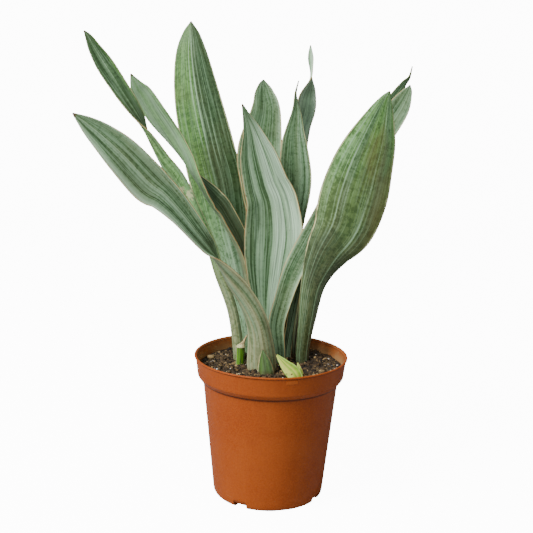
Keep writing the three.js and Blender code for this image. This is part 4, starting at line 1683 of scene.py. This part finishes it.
BLADES = (
    Blade(
        node="leaf_low_left",
        wave=(1.2, 4),
        rows=190,
        stations=(
            (-9, -14, -19, 12, 88, 52),
            (-9, -14, 6, 16.5, 88, 50),
            (-12, -16, 37, 13, 82, 50),
            (-18, -18, 57, 12.5, 72, 50),
            (-28, -20, 75, 13, 56, 50),
            (-42, -23, 95, 14, 36, 48),
            (-56, -27, 117, 12, 8, 46),
            (-65.5, -32, 131, 11.2, -25, 44),
            (-75, -37, 145, 12, -52, 38),
            (-89, -43, 164, 13.2, -68, 32),
            (-102, -48, 179, 15.5, -74, 28),
            (-115, -52, 190, 19, -76, 26),
            (-136, -60, 214, 17.3, -80, 22),
            (-152, -65, 230, 13.2, -82, 20),
            (-166, -69, 242, 8, -82, 16),
            (-179, -72, 252, 0.7, -82, 8),
        ),
        finish=LeafFinish(
            upper=Face(
                ((-1, T.CREAM), (-0.93, T.WHITE), (-0.78, T.MIST), (-0.7, T.SILVER), (-0.6, T.GREEN),
                 (-0.45, T.DEEP), (-0.3, T.GREEN), (-0.2, T.SILVER), (-0.05, T.SILVER), (0.05, T.SAGE),
                 (0.2, T.GREEN), (0.5, T.GREEN), (0.75, T.SAGE), (0.88, T.SILVER), (1, T.MIST)),
                ((-0.66, 0.04, 0.9), (-0.5, 0.03, 0.6), (-0.36, 0.03, 0.5), (0.02, 0.05, 0.8),
                 (0.14, 0.03, 0.6), (0.3, 0.02, 0.4), (0.45, 0.03, 0.6), (0.65, 0.02, 0.4),
                 (0.84, 0.03, 0.6)),
            ),
            lower=Face(
                ((-1, T.CREAM), (-0.85, T.HUSK), (-0.5, T.SAGE), (-0.2, T.HUSK), (0.15, T.SILVER),
                 (0.3, T.HUSK), (0.6, T.SAGE), (0.8, T.HUSK), (1, T.MIST)),
                ((-0.65, 0.04, 0.6), (-0.36, 0.03, -0.3), (-0.12, 0.03, 0.5), (0.4, 0.03, 0.5),
                 (0.7, 0.02, -0.3)),
            ),
            seed=1.7,
            foot=T.HUSK,
            foot_end=0.2,
            fine_lines=0.6,
            streaks=0.3,
            blotches=0.75,
            tip=0.1,
        ),
    ),
    Blade(
        node="leaf_far_left",
        wave=(0.6, 4),
        rows=180,
        columns=20,
        stations=(
            (-34, 19, -19, 7, 70, 60),
            (-34, 19, 9, 7, 70, 60),
            (-41, 20, 52, 7, 60, 60),
            (-55, 20, 90, 8, 50, 60),
            (-65, 19, 121, 8.5, 50, 55),
            (-79, 17, 150, 9, 55, 50),
            (-95.5, 16, 182, 10, 60, 42),
            (-110.5, 14, 204, 9.5, 45, 38),
            (-125, 12, 229, 9, 15, 36),
            (-134, 10, 246, 8.5, -30, 32),
            (-146, 8, 266, 8.5, -62, 28),
            (-158, 5, 285, 9, -72, 24),
            (-165, 3, 296, 8.6, -76, 22),
            (-172, 0, 308, 6.2, -80, 20),
            (-177, -2, 318, 3.6, -80, 15),
            (-181, -4, 324, 0.7, -80, 8),
        ),
        finish=LeafFinish(
            upper=Face(
                ((-1, T.SAGE), (-0.85, T.GREEN), (-0.4, T.DEEP), (-0.1, T.GREEN), (0.2, T.GREEN),
                 (0.5, T.DEEP), (0.85, T.LEAF), (1, T.CREAM)),
                ((-0.3, 0.06, 0.4), (0.02, 0.08, 0.8), (0.25, 0.03, 0.4), (0.62, 0.03, 0.3)),
            ),
            lower=PALE_BACK,
            seed=3.1,
            foot=T.HUSK,
            blotches=0.75,
            scars_and_shade=(
                ScarAndShade(-0.55, 0.37, 0.35, 0.013, T.CREAM, False),
                ScarAndShade(-0.1, 0.385, 0.35, 0.007, T.HUSK, False),
            ),
        ),
    ),
    Blade(
        node="leaf_pale_left",
        wave=(0.6, 3),
        rows=170,
        stations=(
            (-20, 24, -19, 7, -20, 66),
            (-20, 26, 13, 8, -22, 70),
            (-24, 40, 58, 10, -25, 74),
            (-33, 54, 105, 14, -27, 76),
            (-53, 53, 144, 16, -25, 74),
            (-64, 51, 159, 16, -18, 68),
            (-73, 49, 171, 15, -6, 60),
            (-83, 47, 186, 13, 14, 50),
            (-92, 45, 203, 12, 36, 42),
            (-106.3, 42, 225.5, 12.2, 55, 34),
            (-120, 38, 245.5, 12.1, 66, 28),
            (-131, 34, 264, 10.4, 72, 24),
            (-137, 31, 273, 7.4, 76, 18),
            (-142.5, 28, 285, 0.7, 78, 8),
        ),
        finish=LeafFinish(
            upper=DARK_STRIPED,
            lower=Face(
                ((-1, T.CREAM), (-0.9, T.PALE), (-0.5, T.MIST), (0, T.PALE), (0.5, T.MIST), (0.86, T.PALE),
                 (1, T.CREAM)),
                ((-0.6, 0.04, 0.7), (-0.35, 0.03, -0.5), (-0.15, 0.04, 0.8), (0.02, 0.03, -0.5),
                 (0.15, 0.04, 0.9), (0.32, 0.03, -0.5), (0.6, 0.04, 0.7)),
            ),
            seed=5.3,
            foot=T.HUSK,
            foot_end=0.45,
            fine_lines=0.6,
            streaks=0.3,
            blotches=0.35,
            cross_bands=0.1,
            tip=0.0,
            scars_and_shade=(
                # Painted shade: a broad soft dark patch on the upper face, where the rolled blade shades its
                # own inside.
                ScarAndShade(0.0, 0.45, 2.4, 0.4, T.DARK, True, 0.3, 0.6),
                ScarAndShade(0.0, 0.44, 1.6, 0.14, T.MOSS, False, 0.5, 0.5),
            ),
        ),
    ),
    Blade(
        node="leaf_tall_back_left",
        wave=(1.0, 3),
        rows=180,
        columns=30,
        stations=(
            (-19, 36, -19, 6, 80, 55),
            (-19, 37, 3, 9, 80, 55),
            (-29, 52, 48, 12, 82, 50),
            (-42, 68, 96, 18.5, 84, 40),
            (-51, 76, 126, 24.5, 85, 32),
            (-61.5, 82, 173, 29, 86, 26),
            (-69.8, 86, 203, 28.5, 87, 24),
            (-78, 90, 235, 27.2, 88, 22),
            (-85, 94, 268, 24, 88, 22),
            (-90, 98, 303, 17.5, 88, 20),
            (-91, 101, 325, 9.6, 88, 16),
            (-91, 103, 338, 0.7, 88, 8),
        ),
        finish=LeafFinish(
            upper=DARK_STRIPED,
            # The lower face's darker half, from its margin at -1 to the midrib, is partly the leaf's own
            # deeper green and partly painted shade on the side that turns from the light.
            lower=Face(
                ((-1, T.GREEN), (-0.88, T.MOSS), (-0.5, T.DEEP), (-0.1, T.MOSS), (0.0, T.GREEN),
                 (0.1, T.LEAF), (0.9, T.LEAF), (1, T.SAGE)),
                ((-0.86, 0.03, 0.5), (-0.55, 0.03, 0.5), (-0.38, 0.03, 0.6), (-0.22, 0.03, 0.6),
                 (-0.02, 0.06, 1.0), (0.16, 0.04, 0.8), (0.3, 0.03, 0.5), (0.55, 0.02, 0.4)),
            ),
            seed=7.9,
            # The pale silver of the foot, up to half the length, is partly the foot's own pale tone and
            # partly painted light over the shade that the leaves in front cast.
            foot=T.SILVER,
            foot_end=0.5,
            fine_lines=0.35,
            streaks=0.2,
            blotches=0.75,
            cross_bands=0.4,
            tip=0.1,
        ),
    ),
    Blade(
        node="leaf_front_centre",
        wave=(0.8, 4),
        rows=170,
        columns=30,
        stations=(
            (-3, 27, -19, 6.5, -90, 50),
            (-3, 28, 8, 7.5, -90, 50),
            (-4, 33, 41, 12, -90, 40),
            (-4, 36, 64, 19, -90, 34),
            (-2, 38, 97, 27.5, -90, 26),
            (0, 39, 129, 30.5, -90, 24),
            (-3, 37, 160, 27, -88, 22),
            (-10, 34, 181, 23, -86, 20),
            (-18, 30, 209, 18.5, -84, 18),
            (-24, 26, 232, 9.8, -84, 16),
            (-29, 24, 246, 4.6, -84, 12),
            (-34, 22, 259, 0.7, -84, 8),
        ),
        finish=LeafFinish(
            upper=Face(
                ((-1, T.MIST), (-0.9, T.SAGE), (-0.78, T.GREEN), (-0.62, T.GREEN), (-0.56, T.SILVER),
                 (-0.38, T.SILVER), (-0.3, T.GREEN), (-0.12, T.GREEN), (-0.04, T.MIST), (0.1, T.WHITE),
                 (0.34, T.WHITE), (0.4, T.SILVER), (0.48, T.MIST), (0.66, T.WHITE), (0.9, T.WHITE),
                 (1, T.CREAM)),
                ((-0.8, 0.03, 0.5), (-0.62, 0.03, -1.0), (-0.5, 0.05, 0.9), (-0.38, 0.04, 0.7),
                 (-0.22, 0.025, 0.5), (-0.12, 0.025, -0.6), (0.08, 0.03, 0.8), (0.18, 0.03, 0.7),
                 (0.38, 0.03, -1.0), (0.58, 0.02, -0.8)),
            ),
            lower=PALE_BACK,
            seed=9.2,
            foot=T.MIST,
            fine_lines=0.95,
            streaks=0.3,
            patches=0.05,
            tip=1.0,
            scars_and_shade=(ScarAndShade(-0.98, 0.62, 0.07, 0.012, T.INK, True),),
        ),
    ),
    Blade(
        node="leaf_back_centre",
        wave=(0.8, 3),
        stations=(
            (-5, 48, -19, 6, -90, 50),
            (-4, 50, 13, 7, -90, 50),
            (-4, 61, 68, 11, -90, 40),
            (-9, 70, 129, 17, -88, 30),
            (-15, 76, 175, 22, -86, 24),
            (-17, 80, 209, 23.5, -86, 20),
            (-12, 87, 248, 16.2, -86, 18),
            (-14, 91, 267, 10.5, -86, 16),
            (-15, 93, 276, 5.4, -86, 12),
            (-15, 94, 281, 0.7, -86, 8),
        ),
        finish=LeafFinish(
            upper=Face(
                ((-1, T.CREAM), (-0.92, T.SAGE), (-0.7, T.GREEN), (-0.3, T.DEEP), (0.1, T.GREEN),
                 (0.5, T.GREEN), (0.72, T.SAGE), (0.88, T.SILVER), (1, T.CREAM)),
                ((-0.45, 0.02, 0.3), (0.02, 0.04, 0.5), (0.3, 0.03, 0.5), (0.62, 0.03, 0.5)),
            ),
            lower=PALE_BACK,
            seed=11.4,
            foot=T.MOSS,
            streaks=0.25,
            blotches=0.8,
            cross_bands=0.4,
        ),
    ),
    Blade(
        node="leaf_centre_right",
        wave=(0.8, 3),
        rows=160,
        stations=(
            (10, 41, -19, 5.5, -85, 50),
            (11, 42, 13, 6.5, -85, 50),
            (12, 47, 59, 7.5, -85, 45),
            (15, 53, 111, 11, -82, 35),
            (17, 56, 143, 14.5, -80, 28),
            (19, 61, 181, 18, -78, 24),
            (18, 67, 215, 14, -78, 20),
            (18, 70, 230, 10.4, -78, 18),
            (19, 74, 248, 5.8, -75, 18),
            (18.5, 76, 259, 3.2, -60, 25),
            (18.3, 78, 269, 1.6, -40, 30),
            (21, 80, 281, 0.6, -30, 20),
        ),
        finish=LeafFinish(
            upper=Face(
                ((-1, T.CREAM), (-0.9, T.SAGE), (-0.6, T.GREEN), (-0.1, T.GREEN), (0.2, T.SAGE),
                 (0.45, T.SILVER), (0.58, T.GREEN), (0.75, T.SILVER), (0.9, T.SAGE), (1, T.CREAM)),
                ((-0.3, 0.02, 0.3), (0.05, 0.03, 0.5), (0.3, 0.03, 0.6), (0.5, 0.02, -0.4),
                 (0.68, 0.03, 0.6)),
            ),
            lower=PALE_BACK,
            seed=13.8,
            foot=T.MOSS,
            streaks=0.3,
            blotches=0.75,
            cross_bands=0.3,
        ),
    ),
    Blade(
        node="leaf_back_twisted",
        wave=(0.5, 3),
        rows=160,
        columns=20,
        stations=(
            (20, 52, -19, 5, -70, 50),
            (20, 54, 10, 6, -70, 50),
            (18, 67, 108, 9, -70, 38),
            (19.5, 80, 181, 10.2, -65, 30),
            (24, 92, 229, 11, -62, 26),
            (28.5, 97, 251, 12.4, -60, 24),
            (30.5, 100, 264, 11.4, -54, 24),
            (33, 103, 276, 8.6, -32, 26),
            (34.3, 106, 287, 4.8, 0, 30),
            (33, 111, 303, 4.6, 40, 26),
            (33, 115, 317, 0.6, 60, 10),
        ),
        finish=LeafFinish(
            # Both faces are partly painted light, paler than the leaf's own silver-sage where it turns from
            # the light.
            upper=SILVER_AND_PAINTED_LIGHT_FACE,
            lower=SILVER_AND_PAINTED_LIGHT_FACE,
            seed=15.1,
            foot=T.SLATE,
            foot_end=0.85,
            tip=0.0,
        ),
    ),
    Blade(
        node="leaf_big_right",
        wave=(1.2, 3),
        rows=170,
        columns=32,
        stations=(
            (33, 20, -19, 6.5, 95, 55),
            (32, 20, 5, 7.8, 95, 55),
            (33, 18, 23, 8, 93, 52),
            (34.5, 15, 41, 9, 92, 50),
            (38.5, 10, 78, 12.8, 90, 44),
            (44.5, 7, 99, 17.2, 88, 36),
            (53.5, 5, 119, 23.2, 86, 30),
            (67, 2, 143, 30.6, 86, 26),
            (74.6, -2, 173, 33.6, 86, 22),
            (81.6, -7, 202, 30.4, 86, 20),
            (89.7, -12, 230, 23.4, 86, 18),
            (96.3, -16, 256, 12.2, 86, 16),
            (100, -19, 269, 5.4, 86, 12),
            (103, -20, 276, 0.7, 86, 8),
        ),
        finish=LeafFinish(
            upper=DARK_STRIPED,
            lower=Face(
                ((-1, T.SAGE), (-0.93, T.LEAF), (-0.6, T.GREEN), (-0.45, T.LEAF), (0.1, T.LEAF),
                 (0.25, T.GREEN), (0.5, T.LEAF), (0.8, T.PALE), (0.93, T.LEAF), (1, T.CREAM)),
                ((-0.42, 0.06, 1.0), (0.05, 0.02, 0.5), (0.2, 0.03, 0.6), (0.36, 0.05, 0.9),
                 (0.5, 0.03, 0.6), (0.7, 0.05, 0.8)),
            ),
            seed=17.5,
            foot_end=0.85,
            fine_lines=0.35,
            streaks=0.2,
            blotches=0.85,
            cross_bands=0.4,
            tip=0.1,
            scars_and_shade=(
                ScarAndShade(-0.25, 0.74, 0.4, 0.1, T.OLIVE, False, 0.7, 0.5),
                ScarAndShade(-0.85, 0.62, 0.4, 0.16, T.OLIVE, False, 0.7, 0.5),
                # Painted shadow: a broad soft dark patch across the lower face, low on the blade, where the
                # leaves beside it shade it.
                ScarAndShade(0.5, 0.42, 1.3, 0.13, T.INK, False, 0.6, 0.45),
            ),
        ),
    ),
    Blade(
        node="leaf_slim_right",
        wave=(0.6, 4),
        rows=160,
        stations=(
            (10, 17, -19, 5.5, -90, 50),
            (8, 17, 13, 6.8, -90, 50),
            (5, 19, 39, 8.8, -92, 40),
            (10, 20, 63, 9.5, -95, 34),
            (19, 23, 93, 10.5, -98, 30),
            (31, 28, 117, 11.5, -98, 26),
            (47, 34, 146, 12, -96, 24),
            (72, 43, 192, 12.5, -92, 22),
            (99.5, 51, 226, 13.6, -90, 20),
            (119.5, 56, 255, 11.8, -88, 18),
            (129, 60, 272, 5.8, -88, 14),
            (132, 61, 280, 0.7, -88, 8),
        ),
        finish=LeafFinish(
            upper=Face(
                ((-1, T.CREAM), (-0.85, T.MIST), (-0.72, T.SAGE), (-0.1, T.GREEN), (0.1, T.SAGE),
                 (0.5, T.SAGE), (0.85, T.MIST), (1, T.CREAM)),
                ((-0.5, 0.05, 0.6), (-0.3, 0.06, 0.8), (0.12, 0.04, 0.6), (0.26, 0.06, 0.8),
                 (0.62, 0.03, 0.4)),
            ),
            lower=PALE_BACK,
            seed=19.6,
            foot=T.SLATE,
            foot_end=0.15,
            streaks=0.3,
            blotches=0.8,
            tip=0.0,
        ),
    ),
    Blade(
        node="leaf_curled_back_right",
        wave=(0.5, 3),
        rows=160,
        columns=20,
        stations=(
            (18, 33, -19, 4.5, -80, 50),
            (16, 34, 9, 5, -80, 50),
            (21, 39, 45, 5.5, -85, 45),
            (29, 43, 83, 7, -90, 38),
            (48, 51, 129, 9, -92, 30),
            (77, 61, 178, 9.5, -90, 26),
            (103, 72, 233, 9, -88, 24),
            (118, 79, 264, 6.5, -85, 24),
            (127.5, 82, 280, 3.6, -70, 28),
            (133.5, 84, 287, 1.8, -50, 28),
            (136.5, 86, 298, 0.6, -30, 20),
        ),
        finish=LeafFinish(
            upper=DARK_STRIPED,
            lower=PALE_BACK,
            seed=21.3,
            # Painted shade: the near-black foot, up to half the length, stands for the deep shade among the
            # leaves' bases.
            foot=T.INK,
            foot_end=0.5,
            cream_edge=0.4,
        ),
    ),
    Blade(
        node="front_sheath",
        slot="shoot_skin",
        rows=50,
        stations=(
            (-5, -22, -17, 9, 84, 44),
            (-5, -22, -1, 9.5, 84, 44),
            (-6, -22, 12, 7, 84, 38),
            (-8.5, -21.5, 26, 0.7, 84, 10),
        ),
        finish=LeafFinish(
            upper=PALE_BACK,
            lower=Face(
                ((-1, T.TAN), (-0.88, T.MOSS), (-0.4, T.LEAF), (0.0, T.MOSS), (0.45, T.LEAF), (0.7, T.MOSS),
                 (0.8, T.CREAM), (0.9, T.TAN), (1, T.TAN)),
                ((-0.6, 0.05, -0.7), (-0.3, 0.05, 0.4), (-0.05, 0.06, -0.8), (0.22, 0.05, 0.4),
                 (0.5, 0.05, -0.7)),
            ),
            seed=23.0,
            foot=T.MOSS,
            foot_end=0.2,
            blotches=0.2,
            cross_bands=0.0,
            tip=0.0,
            margin_width=0.1,
            cream_edge=0.5,
        ),
    ),
    Blade(
        node="dry_sheath",
        slot="shoot_skin",
        rows=50,
        columns=12,
        alone=True,
        stations=(
            (24.5, 27, -4, 3.2, -88, 34),
            (24.5, 27, 8, 3.6, -88, 34),
            (25, 26, 30, 3.4, -88, 34),
            (27, 24, 52, 2.8, -88, 30),
            (29.5, 21, 75, 2.0, -88, 26),
            (31.5, 19, 90, 0.5, -88, 10),
        ),
        finish=LeafFinish(
            upper=DRY_FACE_WITH_PAINTED_SHADE,
            lower=DRY_FACE_WITH_PAINTED_SHADE,
            seed=29.0,
            # Painted shade: the near-black foot, like the face's black middle.
            foot=T.PEAT_BLACK,
            foot_end=0.5,
            fine_lines=0.3,
            streaks=0.2,
            blotches=0.0,
            cross_bands=0.0,
            patches=0.0,
            margin=T.BARK,
            margin_width=0.06,
            cream_edge=0.0,
        ),
    ),
    Blade(
        node="lime_pup",
        slot="lime_skin",
        rows=60,
        stations=(
            (26, -33, -15, 4, -75, 66),
            (26, -33, -2, 6.5, -75, 62),
            (22, -33, 7, 8, -80, 50),
            (15, -33, 14, 6, -85, 40),
            (5, -33, 25, 0.7, -90, 10),
        ),
        finish=LeafFinish(
            upper=LIME_FACE,
            lower=LIME_FACE,
            seed=25.0,
            foot=T.LIME,
            foot_end=0.1,
            fine_lines=0.06,
            streaks=0.04,
            blotches=0.0,
            cross_bands=0.0,
            patches=0.0,
            tip=0.0,
            margin=T.LIME_SHADE,
            margin_width=0.06,
            scars_and_shade=(ScarAndShade(-0.3, 0.5, 0.2, 0.03, T.UMBER, True), ScarAndShade(-0.9, 0.62, 0.2, 0.04, T.OLIVE, True)),
        ),
    ),
    Blade(
        node="pup_scale",
        slot="lime_skin",
        rows=40,
        columns=16,
        stations=(
            (30, -25, -15, 2.6, -110, 40),
            (30, -25, 1, 3.4, -110, 40),
            (28, -25, 9, 2.4, -110, 30),
            (26, -25, 15, 0.6, -110, 10),
        ),
        finish=LeafFinish(
            upper=LIME_FACE,
            lower=LIME_FACE,
            seed=27.0,
            foot=T.LIME_SHADE,
            fine_lines=0.06,
            streaks=0.04,
            blotches=0.0,
            cross_bands=0.0,
            patches=0.0,
            tip=0.0,
            margin_width=0.1,
        ),
    ),
)


def main() -> None:
    """Builds the plant and its studio."""
    logging.basicConfig(level=logging.INFO, format="%(name)s %(message)s")
    Studio().build()
    SnakePlant(BLADES).build()


if __name__ == "__main__":
    main()
